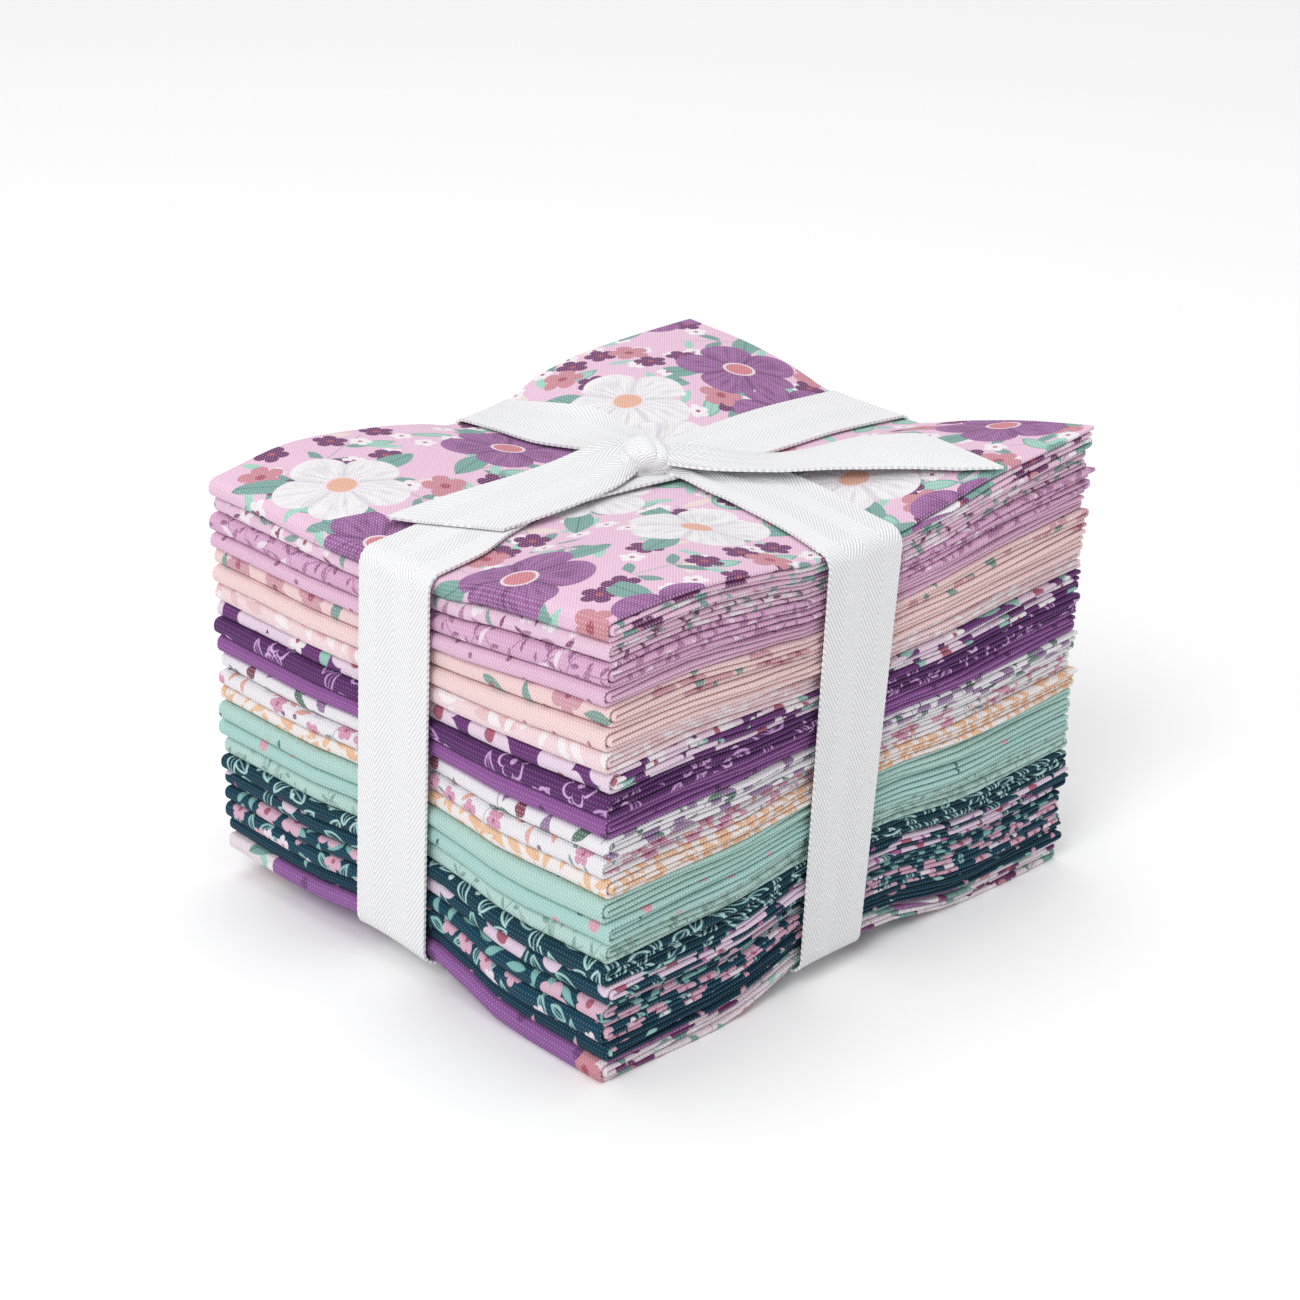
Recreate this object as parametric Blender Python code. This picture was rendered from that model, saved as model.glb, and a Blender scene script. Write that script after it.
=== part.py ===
"""Fat quarter bundle: twenty-two folded cuts of quilting cotton in one stack,
tied crosswise with a single length of twill ribbon.

Metres, +Z up. The origin is the centre of the footprint, on the surface the bundle
rests on. Every cut is folded in half four times, twice across its width and twice
along its length. The outer fold of the last two lies at -X, the free ends and the
fold inside them lie at +X, and -Y and +Y show the edges of the four legs.
"""

import bisect
import math

import bmesh
import bpy
import numpy as np

# One fat quarter as cut, 21 by 18 inches, and the thickness of one layer of it
CUT_LENGTH = 0.5334
CUT_WIDTH = 0.4572
LAYER = 0.000253

# Folding: each leg of the stack's section is four layers thick, and there are four legs.
# The end fold at +X stops short of the free end above it, and so does the inner free end.
LAYERS_IN_LEG = 4
LEGS = 4
CLEAR = 0.00036
END_FOLD_SHORT = 0.0004
INNER_END_SHORT = 0.0007
LEG_PITCH = LAYERS_IN_LEG * LAYER
LEG_THICKNESS = LEG_PITCH - CLEAR
PACKET_PITCH = LEGS * LEG_PITCH
PACKET_THICKNESS = PACKET_PITCH - CLEAR
STACK_WIDTH = CUT_LENGTH / LEGS
STACK_DEPTH = CUT_WIDTH / LAYERS_IN_LEG

# Half turns of a leg, as sides of a polygon drawn round the circle
TURN_SIDES = 4

# Stations across the stack, at which the heights below are given
X_STATIONS = [STACK_WIDTH * share for share in (-0.5, -0.25, 0, 0.25, 0.5)]
Y_STATIONS = [STACK_DEPTH * share for share in (-0.5, -0.25, 0, 0.25, 0.5)]

# Height of the top in millimetres, a row for each Y station from -Y to +Y, a column
# for each X station from -X to +X. The ribbon draws the middle row and column down.
TOP_HEIGHTS = [
    (92.0, 92.8, 88.0, 93.4, 96.6),
    (89.6, 91.4, 88.2, 93.0, 91.2),
    (85.4, 86.8, 87.4, 88.0, 86.2),
    (86.4, 89.2, 87.0, 92.0, 90.4),
    (87.2, 89.6, 84.6, 92.2, 93.4),
]

# Height of the underside, in the same rows and columns. It is flat on the surface but
# for the two grooves that the ribbon runs in, and one corner that curls up.
BOTTOM_HEIGHTS = [
    (0.0, 0.0, 4.4, 0.0, 0.0),
    (0.0, 0.0, 3.8, 0.0, 0.0),
    (5.2, 3.8, 3.8, 3.8, 4.0),
    (5.2, 0.0, 3.8, 0.0, 0.0),
    (5.4, 0.0, 4.0, 0.0, 0.0),
]

# How far the ribbon draws the sides in, over which share of a side to each side of the
# ribbon, and how steeply that fades inwards. How far a fold may stand out of line, and
# which part of a cut edge's distance shows at +Y.
SQUEEZE = 0.0016
SQUEEZE_SPREAD_SHARE = 0.25
SQUEEZE_FADE_POWER = 8
STAND_OUT = 0.0009
BACK_EDGE_SHARE = 0.6

# Ribbon: its width, its thickness, and its clearance from the cloth
RIBBON_WIDTH = 0.020
RIBBON_THICKNESS = 0.0010
RIBBON_CLEAR = 0.0005
RIBBON_COLOUR = "F1F1EF"

# Where the two turns of the ribbon run on top of the stack and under it. Columns: share
# of the way out from the middle, distance of the ribbon's middle to the side of the
# stack's middle line in millimetres, and its width as a share of the full width.
LOOP_ALONG_X = {
    "top": [
        (-1.0, -0.4, 1.0),
        (-0.66, 3.2, 0.84),
        (-0.35, 3.6, 0.68),
        (0.0, 1.2, 0.86),
        (0.35, 0.6, 0.97),
        (1.0, 0.4, 1.0),
    ],
    "under": [(-1.0, 3.2, 1.0), (1.0, 0.6, 1.0)],
}
LOOP_ALONG_Y = {
    "top": [
        (-1.0, -0.8, 1.0),
        (-0.62, 4.6, 0.92),
        (-0.35, 6.2, 0.84),
        (0.0, 1.6, 0.52),
        (0.35, 5.4, 0.68),
        (0.62, 5.0, 0.94),
        (1.0, 3.4, 0.70),
    ],
    "under": [(-1.0, -5.8, 0.86), (1.0, 1.0, 1.0)],
}

# Shares of the way from the knot to a side at which the loops have a row of points on
# top and below
RUN_SHARES = (0.985, 0.87, 0.75, 0.62, 0.5, 0.35, 0.2, 0.1)

# Rows down a side. Columns: level, and the angle at which the ribbon faces outwards.
SIDE_ROWS = ((0.994, 135), (0.97, 180), (0.5, 180), (0.03, 180), (0.006, 225))

# Where the two loops cross, the one along Y lies this much further out, over this reach
CROSSING_LIFT = 0.0007
CROSSING_REACH = 0.016

# Free ends of the ribbon. Columns: x and y of the middle of the ribbon, height of its
# underside above the cloth at the -Y edge and at the +Y edge, half of its width, all in
# millimetres. The last row is the middle of the slanting cut, and the lean is how much
# further out the cut is at the +Y edge.
TAIL_LEFT = [
    (-2.0, 1.6, 4.2, 4.6, 4.0),
    (-8.0, 3.4, 3.6, 4.4, 6.2),
    (-16.0, 3.9, 2.9, 3.6, 8.2),
    (-28.0, 4.6, 2.3, 2.5, 9.6),
    (-40.0, 5.2, 2.1, 2.2, 10.0),
    (-49.7, 5.4, 2.1, 2.1, 10.0),
]
TAIL_RIGHT = [
    (2.0, -3.0, 4.4, 4.4, 4.0),
    (6.5, -9.8, 4.2, 3.9, 5.4),
    (12.5, -16.5, 3.8, 3.0, 7.0),
    (21.0, -24.5, 3.2, 1.8, 8.8),
    (30.0, -34.0, 2.4, 1.1, 9.9),
    (39.9, -44.9, 0.8, 0.8, 10.0),
]
TAIL_LEFT_LEAN = 0.0060
TAIL_RIGHT_LEAN = -0.0085

# Knot: half of its size along its own length, across it and upwards, its turn about Z
KNOT_CENTRE = (-0.0008, 0.0008)
KNOT_RISE = 0.0038
KNOT_HALF = (0.0066, 0.0058, 0.0036)
KNOT_TURN = math.radians(-44)
KNOT_SEGMENTS = 16
KNOT_RINGS = 9

# Its waists, in shares of its half length: how deep, how far out and how wide they are
KNOT_WAIST_DEPTH = 0.16
KNOT_WAIST_PLACE = 0.62
KNOT_WAIST_SPREAD = 0.16

# The cuts from the top of the stack to the bottom.
# Columns: name of the cloth, its colour, thickness as a share of the mean, fold end, free
# end and cut edge out of line in millimetres, and whether the inner folds lie above or
# below.
CUTS = [
    ("lilac_pink_large_flowers", "DDB0CB", 1.05, 0.1, 0.5, 0.2, "below"),
    ("pale_pink_small_flowers", "E3BFD0", 0.92, -0.5, -0.3, -0.4, "above"),
    ("orchid_tone_on_tone", "CFA2C2", 1.04, 0.3, 0.6, 0.5, "below"),
    ("mauve_fine_dots", "DDB5CE", 0.90, 0.6, -0.5, -0.2, "below"),
    ("peach_small_motifs", "E6C3BF", 1.00, -0.4, 0.2, 0.3, "above"),
    ("peach_plain", "E9C7C6", 1.05, 0.4, -0.4, 0.6, "below"),
    ("blush_brush_marks", "EBD2D6", 1.03, 0.2, 0.7, -0.5, "above"),
    ("purple_flowers", "80508B", 1.00, -0.6, 0.1, 0.2, "below"),
    ("deep_purple_sketched", "64386F", 1.00, 0.5, -0.6, 0.4, "above"),
    ("orchid_purple_dots", "96669F", 1.05, 0.0, 0.4, -0.3, "below"),
    ("white_green_leaves", "E6E2E6", 0.96, -0.7, 0.3, 0.1, "below"),
    ("white_coral_sprigs", "E8DEE2", 0.94, 0.3, -0.7, -0.6, "above"),
    ("apricot_leaves", "EBD3C4", 0.95, -0.2, 0.5, 0.5, "below"),
    ("mint_ticks", "A8C9C2", 1.12, 0.7, 0.0, 0.0, "above"),
    ("mint_small_motifs", "A9CBC8", 1.06, 0.1, -0.4, 0.4, "below"),
    ("sage_leaf_sketch", "9ABDB4", 1.07, -0.5, 0.6, -0.4, "below"),
    ("deep_teal_leaf_outlines", "1D4453", 0.95, 0.5, -0.2, 0.3, "above"),
    ("navy_pink_petals", "24475A", 0.97, -0.3, 0.3, 0.6, "below"),
    ("teal_rose_sprays", "26495C", 0.90, 0.3, -0.5, -0.3, "below"),
    ("navy_small_flowers", "284A5E", 1.06, 0.4, -0.6, -0.2, "above"),
    ("deep_teal_plain", "1C4255", 0.90, -0.6, 0.2, 0.1, "below"),
    ("orchid_purple_border", "9E6EAB", 1.08, 0.2, -0.3, -0.5, "below"),
]

MM = 0.001

# Share of the stack's height below each cut, from the bottom one up
THICKNESSES = [cut[2] for cut in reversed(CUTS)]
LEVELS = np.concatenate([[0.0], np.cumsum(THICKNESSES)]) / sum(THICKNESSES)


def clear_scene():
    """Remove every object that the file opens with."""
    for obj in list(bpy.data.objects):
        bpy.data.objects.remove(obj, do_unlink=True)


def linear(hex_colour):
    """Linear RGBA of an sRGB hex colour."""
    channels = [int(hex_colour[start:start + 2], 16) / 255 for start in (0, 2, 4)]
    values = [c / 12.92 if c <= 0.04045 else ((c + 0.055) / 1.055) ** 2.4 for c in channels]
    return (*values, 1.0)


def cotton(name, hex_colour):
    """A matt Principled material in one colour."""
    material = bpy.data.materials.new(name)
    material.use_nodes = True
    shader = material.node_tree.nodes["Principled BSDF"]
    shader.inputs["Base Color"].default_value = linear(hex_colour)
    shader.inputs["Roughness"].default_value = 0.9
    shader.inputs["Metallic"].default_value = 0.0
    material.diffuse_color = linear(hex_colour)
    return material


def add_solid(name, points, faces, material):
    """One closed mesh object, its faces turned outwards."""
    mesh = bpy.data.meshes.new(name)
    mesh.from_pydata([tuple(point) for point in points], [], faces)
    shape = bmesh.new()
    shape.from_mesh(mesh)
    bmesh.ops.recalc_face_normals(shape, faces=shape.faces)
    shape.to_mesh(mesh)
    shape.free()
    mesh.materials.append(material)
    obj = bpy.data.objects.new(name, mesh)
    bpy.context.scene.collection.objects.link(obj)
    return obj


def falls_across(column, row):
    """Whether a cell's crease runs from its -X, +Y corner to its +X, -Y corner."""
    middle = len(X_STATIONS) // 2
    return (column >= middle) == (row >= middle)


def cell_of(stations, value):
    """Index of the stretch between two stations that holds a value, and its share."""
    last = len(stations) - 2
    index = min(max(bisect.bisect(stations, value) - 1, 0), last)
    return index, (value - stations[index]) / (stations[index + 1] - stations[index])


def station_height(table, x, y):
    """Height of the creased surface through a table's station heights, in metres.

    Each cell between four stations is two flat triangles, and its crease runs round
    the middle of the stack, never through it.
    """
    column, across = cell_of(X_STATIONS, x)
    row, along = cell_of(Y_STATIONS, y)
    near_left, near_right = table[row][column:column + 2]
    far_left, far_right = table[row + 1][column:column + 2]
    if falls_across(column, row):
        if across + along < 1:
            height = near_left + (near_right - near_left) * across + (far_left - near_left) * along
        else:
            height = far_right + (far_left - far_right) * (1 - across)
            height += (near_right - far_right) * (1 - along)
    elif across > along:
        height = near_left + (near_right - near_left) * across + (far_right - near_right) * along
    else:
        height = near_left + (far_left - near_left) * along + (far_right - far_left) * across
    return height * MM


def near_ribbon(sideways, side):
    """1 in the middle of a side, where the ribbon crosses it, and 0 away from there."""
    return max(0.0, 1.0 - abs(sideways) / (side * SQUEEZE_SPREAD_SHARE))


def drawn_in(value, depth, sideways, side):
    """How far the ribbon moves a point inwards: most at a side's middle, nil inside."""
    near_edge = min(2 * abs(value) / depth, 1.0) ** SQUEEZE_FADE_POWER
    return -math.copysign(SQUEEZE * near_edge * near_ribbon(sideways, side), value)


def stack_level(flat_height):
    """Level of a height in the flat stack: 0 at the bottom, evenly up inside each cut."""
    return np.interp(flat_height / PACKET_PITCH, range(len(LEVELS)), LEVELS)


def settle(x, y, flat_height):
    """A point of the flat stack moved to where it lies in the tied bundle.

    Its height is shared out between the underside and the top by its level.
    """
    low = station_height(BOTTOM_HEIGHTS, x, y)
    high = station_height(TOP_HEIGHTS, x, y)
    level = stack_level(flat_height) / stack_level(PACKET_PITCH * len(CUTS) - CLEAR)
    moved_x = x + drawn_in(x, STACK_WIDTH, y, STACK_DEPTH)
    moved_y = y + drawn_in(y, STACK_DEPTH, x, STACK_WIDTH)
    return moved_x, moved_y, low + (high - low) * level


def half_turn(centre_x, centre_z, radius, side):
    """Corners of a half turn from its top to its bottom, bulging to -X or +X.

    They are those of a polygon whose sides touch the circle.
    """
    step = math.pi / TURN_SIDES
    reach = radius / math.cos(step / 2)
    angles = [math.pi / 2 - step * (index + 0.5) for index in range(TURN_SIDES)]
    return [(centre_x + side * reach * math.cos(a), centre_z + reach * math.sin(a)) for a in angles]


def packet_line(fold_out, free_out):
    """Middle line of one folded cut in the XZ plane, from its top free end.

    The top leg turns round the outer fold at -X into the bottom leg, that turns at +X
    into the leg above it, which turns inside the outer fold into the second leg.
    """
    half = LEG_THICKNESS / 2
    levels = [half + LEG_PITCH * index for index in range(LEGS)]
    middle = (levels[0] + levels[3]) / 2
    inner = X_STATIONS[1:-1]
    fold_x = -STACK_WIDTH / 2 - fold_out + PACKET_THICKNESS / 2
    free_x = STACK_WIDTH / 2 + free_out
    turn_x = free_x - LEG_PITCH / 2 - half - END_FOLD_SHORT
    outer_fold = half_turn(fold_x, middle, (levels[3] - levels[0]) / 2, -1)
    end_fold = half_turn(turn_x, levels[0] + LEG_PITCH / 2, LEG_PITCH / 2, 1)
    nested_fold = half_turn(fold_x, middle, LEG_PITCH / 2, -1)
    line = [(free_x, levels[3])]
    line += [(x, levels[3]) for x in reversed(inner)]
    line += outer_fold
    line += [(x, levels[0]) for x in inner]
    line += reversed(end_fold)
    line += [(x, levels[1]) for x in reversed(inner)]
    line += reversed(nested_fold)
    line += [(x, levels[2]) for x in inner]
    line += [(free_x - INNER_END_SHORT, levels[2])]
    return np.array(line)


def offset_line(line, distance):
    """The line moved sideways by a distance, mitred at its corners."""
    steps = np.diff(line, axis=0)
    normals = np.stack([-steps[:, 1], steps[:, 0]], axis=1)
    normals /= np.linalg.norm(normals, axis=1)[:, None]
    before = np.vstack([normals[:1], normals])
    after = np.vstack([normals, normals[-1:]])
    mitre = before + after
    mitre *= 2 / np.sum(mitre * mitre, axis=1)[:, None]
    return line + mitre * distance


def cell_faces(line, columns, index):
    """Triangles of a leg's two faces, creased as the stack's surface is."""
    faces = []
    for step in range(len(line) - 1):
        forward = line[step + 1][0] > line[step][0]
        column = cell_of(X_STATIONS, (line[step][0] + line[step + 1][0]) / 2)[0]
        for row in range(columns - 1):
            for side in (0, 1):
                corners = [index(step, row, side), index(step + 1, row, side),
                           index(step + 1, row + 1, side), index(step, row + 1, side)]
                if forward == falls_across(column, row):
                    corners = corners[1:] + corners[:1]
                faces.append((corners[0], corners[1], corners[2]))
                faces.append((corners[0], corners[2], corners[3]))
    return faces


def folded_cut(number, cloth, colour, thickness, fold_out, free_out, edge_out, inner_folds):
    """One folded fat quarter as a single sheet going back and forth in four legs."""
    line = packet_line(fold_out * MM, free_out * MM)
    if inner_folds == "above":
        line[:, 1] = PACKET_THICKNESS - line[:, 1]
    sides = [offset_line(line, LEG_THICKNESS / 2 * sign) for sign in (-1, 1)]
    rows = list(Y_STATIONS)
    rows[0] -= edge_out * MM
    rows[-1] += edge_out * MM * BACK_EDGE_SHARE
    base = PACKET_PITCH * (len(CUTS) - number)
    points = []
    for step in range(len(line)):
        for y in rows:
            for side in sides:
                x, z = side[step]
                points.append(settle(x, y, base + z))

    def index(step, row, side):
        return (step * len(rows) + row) * 2 + side

    faces = cell_faces(line, len(rows), index)
    for step in range(len(line) - 1):
        for row in (0, len(rows) - 1):
            faces.append((index(step, row, 0), index(step + 1, row, 0),
                          index(step + 1, row, 1), index(step, row, 1)))
    for step in (0, len(line) - 1):
        for row in range(len(rows) - 1):
            faces.append((index(step, row, 0), index(step, row + 1, 0),
                          index(step, row + 1, 1), index(step, row, 1)))
    return add_solid(f"fat_quarter_{number:02d}", points, faces, cotton(cloth, colour))


def strip_solid(name, inner, outward, closed, material):
    """A flat strip: rows of three points across its inner face, and its outer face.

    The outer face is the inner one moved by the ribbon's thickness along each row's
    outward direction.
    """
    inner = np.array(inner)
    outer = inner + np.array(outward)[:, None, :] * RIBBON_THICKNESS
    rows, across = inner.shape[:2]
    points = np.concatenate([inner, outer], axis=1).reshape(-1, 3)

    def index(row, place, face):
        return (row % rows) * across * 2 + face * across + place

    faces = []
    for row in range(rows if closed else rows - 1):
        for face in (0, 1):
            for place in range(across - 1):
                faces.append((index(row, place, face), index(row + 1, place, face),
                              index(row + 1, place + 1, face), index(row, place + 1, face)))
        for place in (0, across - 1):
            faces.append((index(row, place, 0), index(row + 1, place, 0),
                          index(row + 1, place, 1), index(row, place, 1)))
    if not closed:
        for row in (0, rows - 1):
            for place in range(across - 1):
                faces.append((index(row, place, 0), index(row, place + 1, 0),
                              index(row, place + 1, 1), index(row, place, 1)))
    return add_solid(name, points, faces, material)


def route_values(route, run, share):
    """The ribbon's place to the side and its share of width, at a share of the way out."""
    places, sideways, widths = zip(*route[run])
    return np.array([np.interp(share, places, sideways), np.interp(share, places, widths)])


def loop_stations(half, route):
    """Stations round a loop: place along it, level, normal's angle, sideways and width.

    The level is 1 on the top of the stack and 0 under it. Down a side, the place and the
    width pass from those of the top's end to those of the end below.
    """
    shares = (*RUN_SHARES, 0.0, *(-share for share in reversed(RUN_SHARES)))
    side_values = {end: [route_values(route, run, end) for run in ("top", "under")]
                   for end in (-1.0, 1.0)}
    stations = [(share * half, 1.0, 90, route_values(route, "top", share)) for share in shares]
    for level, angle in SIDE_ROWS:
        top, under = side_values[-1.0]
        stations.append((-half, level, angle, under + (top - under) * level))
    for share in reversed(shares):
        stations.append((share * half, 0.0, 270, route_values(route, "under", share)))
    for level, angle in reversed(SIDE_ROWS):
        top, under = side_values[1.0]
        stations.append((half, level, 180 - angle, under + (top - under) * level))
    return stations


def ribbon_loop(name, half, along_x, route, lift, material):
    """One turn of the ribbon round the stack, clear of the cloth by a small gap."""
    side = STACK_DEPTH if along_x else STACK_WIDTH
    rows = []
    outward = []
    for place, level, angle, (sideways, share) in loop_stations(half, route):
        direction = (math.cos(math.radians(angle)), math.sin(math.radians(angle)))
        rise = lift * max(0.0, 1.0 - abs(place) / CROSSING_REACH) if level == 1.0 else 0.0
        drop = lift / 2 if level == 0.0 else 0.0
        row = []
        for across in (-0.5, 0.0, 0.5):
            beside = sideways * MM + across * RIBBON_WIDTH * share
            x, y = (place, beside) if along_x else (beside, place)
            low = station_height(BOTTOM_HEIGHTS, x, y)
            high = station_height(TOP_HEIGHTS, x, y)
            height = low + (high - low) * level + (RIBBON_CLEAR + rise) * direction[1]
            height -= drop
            far = place
            if 0.0 < level < 1.0:
                draw = SQUEEZE * near_ribbon(beside, side)
                far += math.copysign(STAND_OUT - draw + RIBBON_CLEAR, place) * abs(direction[0])
            row.append((far, beside, height) if along_x else (beside, far, height))
        rows.append(row)
        outward.append((direction[0], 0, direction[1]) if along_x else (0, direction[0], direction[1]))
    return strip_solid(name, rows, outward, True, material)


def ribbon_tail(name, table, lean, material):
    """A free end of the ribbon, over the cloth from the knot to its slanting cut."""
    rows = np.array(table) * MM
    path = rows[:, :2]
    forward = np.gradient(path, axis=0)
    forward /= np.linalg.norm(forward, axis=1)[:, None]
    inner = []
    for number, (x, y, rise_near, rise_far, half_width) in enumerate(rows):
        ahead = forward[number]
        aside = np.array([-ahead[1], ahead[0]])
        if aside[1] < 0:
            aside = -aside
        points = []
        for across in (-1.0, 0.0, 1.0):
            place = np.array([x, y]) + aside * half_width * across
            if number == len(rows) - 1:
                place = place + ahead * lean * across
            rise = rise_near + (rise_far - rise_near) * (across + 1) / 2
            height = station_height(TOP_HEIGHTS, place[0], place[1]) + rise
            points.append((place[0], place[1], height))
        inner.append(points)
    return strip_solid(name, inner, [(0, 0, 1)] * len(rows), False, material)


def ribbon_knot(name, material):
    """The knot: a flattened ball, drawn in where the ribbon wraps round it."""
    shape = bmesh.new()
    bmesh.ops.create_uvsphere(shape, u_segments=KNOT_SEGMENTS, v_segments=KNOT_RINGS, radius=1.0)
    base = station_height(TOP_HEIGHTS, *KNOT_CENTRE) + KNOT_RISE
    for vertex in shape.verts:
        length, across, up = vertex.co
        off_waist = (abs(length) - KNOT_WAIST_PLACE) / KNOT_WAIST_SPREAD
        waist = 1.0 - KNOT_WAIST_DEPTH * math.exp(-off_waist ** 2)
        length, across, up = (value * half for value, half in zip((length, across * waist, up * waist),
                                                                  KNOT_HALF))
        turned_x = length * math.cos(KNOT_TURN) - across * math.sin(KNOT_TURN)
        turned_y = length * math.sin(KNOT_TURN) + across * math.cos(KNOT_TURN)
        vertex.co = (KNOT_CENTRE[0] + turned_x, KNOT_CENTRE[1] + turned_y, base + up)
    points = [vertex.co.copy() for vertex in shape.verts]
    faces = [[vertex.index for vertex in face.verts] for face in shape.faces]
    shape.free()
    return add_solid(name, points, faces, material)


def ribbon_tie():
    """The whole ribbon as one solid: two loops, the knot and the two free ends."""
    twill = cotton("twill_ribbon", RIBBON_COLOUR)
    tie = ribbon_loop("ribbon_tie", STACK_WIDTH / 2, True, LOOP_ALONG_X, 0.0, twill)
    others = [
        ribbon_loop("loop_along_y", STACK_DEPTH / 2, False, LOOP_ALONG_Y, CROSSING_LIFT, twill),
        ribbon_knot("knot", twill),
        ribbon_tail("tail_left", TAIL_LEFT, TAIL_LEFT_LEAN, twill),
        ribbon_tail("tail_right", TAIL_RIGHT, TAIL_RIGHT_LEAN, twill),
    ]
    for other in others:
        other.hide_render = True
        other.display_type = "WIRE"
        fuse = tie.modifiers.new(other.name, "BOOLEAN")
        fuse.operation = "UNION"
        fuse.solver = "EXACT"
        fuse.object = other
    return [tie] + others


def stand_at_origin(objects):
    """Move the whole bundle so that its box has its bottom centre at the origin."""
    points = np.array([vertex.co for obj in objects for vertex in obj.data.vertices])
    low, high = points.min(axis=0), points.max(axis=0)
    for obj in objects:
        obj.location = (-(low[0] + high[0]) / 2, -(low[1] + high[1]) / 2, -low[2])


def build():
    clear_scene()
    objects = [folded_cut(number, *cut) for number, cut in enumerate(CUTS, start=1)]
    objects += ribbon_tie()
    stand_at_origin(objects)


build()
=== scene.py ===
"""Fat quarter bundle: the looks of the folded cottons and of the ribbon that ties them.

Every fat quarter is one thin sheet, folded in half four times along the folds of its
solid, and every print is painted on the flat cut, so it runs round the folds as ink on
cloth does. Lengths are in metres unless a name or a table says millimetres.
"""

import math

import bpy
import mathutils
import numpy as np
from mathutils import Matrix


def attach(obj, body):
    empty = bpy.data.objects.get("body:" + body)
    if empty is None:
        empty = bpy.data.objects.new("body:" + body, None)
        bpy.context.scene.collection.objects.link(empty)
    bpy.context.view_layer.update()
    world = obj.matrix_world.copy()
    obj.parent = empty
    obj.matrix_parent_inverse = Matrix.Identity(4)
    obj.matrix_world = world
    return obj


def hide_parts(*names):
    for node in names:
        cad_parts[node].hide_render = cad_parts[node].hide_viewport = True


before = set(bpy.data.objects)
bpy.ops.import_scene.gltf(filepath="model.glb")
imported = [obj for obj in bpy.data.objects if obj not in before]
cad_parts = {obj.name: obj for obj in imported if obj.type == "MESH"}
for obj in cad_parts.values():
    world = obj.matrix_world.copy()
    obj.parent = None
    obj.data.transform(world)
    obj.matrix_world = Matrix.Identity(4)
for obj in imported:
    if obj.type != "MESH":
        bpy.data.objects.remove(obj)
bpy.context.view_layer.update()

MM = 0.001

# One fat quarter as cut, 21 by 18 inches, the room that one layer of it takes in the
# stack, and how thick the cloth itself is drawn
CUT_LENGTH = 0.5334
CUT_WIDTH = 0.4572
LAYER = 0.000253
CLOTH_THICKNESS = 0.00019
LAYERS_IN_LEG = 4
LEGS = 4
LEG_PITCH = LAYERS_IN_LEG * LAYER
PACKET_PITCH = LEGS * LEG_PITCH
STACK_WIDTH = CUT_LENGTH / LEGS
STACK_DEPTH = CUT_WIDTH / LAYERS_IN_LEG

# A pressed fold is squarer than a half circle: the power of its superellipse, for the
# wide folds along the stack's -X side and for the tight ones along -Y
WIDE_FOLD_POWER = 2.6
TIGHT_FOLD_POWER = 1.55

# The four layers of a leg lie closer than the legs do
LAYER_IN_LEG = 0.000205

# The end fold at +X stops short of the free end above it, as does the inner free end,
# and so do the inner folds and the inner cut edge of a leg at +Y
INNER_END_SHORT = 0.0007
INNER_FOLD_SHORT = 0.0003

# Points along a run of cloth and round a fold, for every cut, and for the top one,
# whose face is seen whole
RUN_POINTS = {"plain": (17, 13), "top": (37, 27)}
FOLD_POINTS = {"plain": (9, 6), "top": (11, 7)}
RUN_REACH_X = 0.0610
RUN_REACH_Y = 0.0535

# Height of the stack's top in millimetres, a row for each Y station from -Y to +Y, a
# column for each X station from -X to +X. The ribbon's two bands hold the inner rows
# and columns down flat, and the quarters between them stand up puffed.
TOP_X = np.array([-66.7, -46.0, -25.0, -12.0, 9.5, 20.0, 38.0, 66.7]) * MM
TOP_Y = np.array([-57.2, -40.0, -24.0, -11.0, 11.0, 25.0, 40.0, 57.2]) * MM
TOP_HEIGHTS = [
    (92.2, 93.2, 91.2, 88.9, 89.1, 90.9, 94.2, 97.0),
    (90.6, 92.8, 91.2, 88.7, 88.9, 91.0, 94.2, 93.8),
    (88.6, 90.6, 90.2, 88.3, 88.6, 90.4, 92.4, 89.8),
    (85.7, 86.6, 87.2, 87.6, 87.9, 88.2, 88.4, 86.7),
    (85.6, 86.6, 87.0, 87.2, 87.6, 88.0, 88.6, 87.4),
    (86.4, 88.8, 88.8, 86.9, 87.8, 90.4, 91.8, 90.1),
    (87.0, 89.8, 89.2, 86.4, 87.4, 91.2, 93.2, 92.3),
    (87.2, 90.2, 88.4, 84.8, 86.4, 90.2, 92.8, 93.6),
]

# The pinch across X narrows towards +Y: its -X side lies this much further in there,
# by a bell round a place, both in metres
PINCH_SHIFT = 0.008
PINCH_SIDE = -0.008
PINCH_SPREAD = 0.012

# Height of the underside in the same way. It is flat on the surface but for the grooves
# that the ribbon runs in, and the side at -X that curls up.
BOTTOM_X = np.array([-66.7, -38.0, -12.0, 11.0, 38.0, 66.7]) * MM
BOTTOM_Y = np.array([-57.2, -34.0, -11.0, 11.0, 33.0, 57.2]) * MM
BOTTOM_HEIGHTS = [
    (0.0, 0.0, 4.0, 3.6, 0.0, 0.0),
    (0.0, 0.0, 3.8, 3.8, 0.0, 0.0),
    (4.4, 3.8, 3.8, 3.8, 3.8, 4.0),
    (6.2, 3.8, 3.8, 3.8, 3.8, 4.0),
    (5.2, 0.8, 3.8, 3.8, 0.0, 0.0),
    (5.6, 0.6, 4.0, 4.0, 0.0, 0.0),
]

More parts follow.
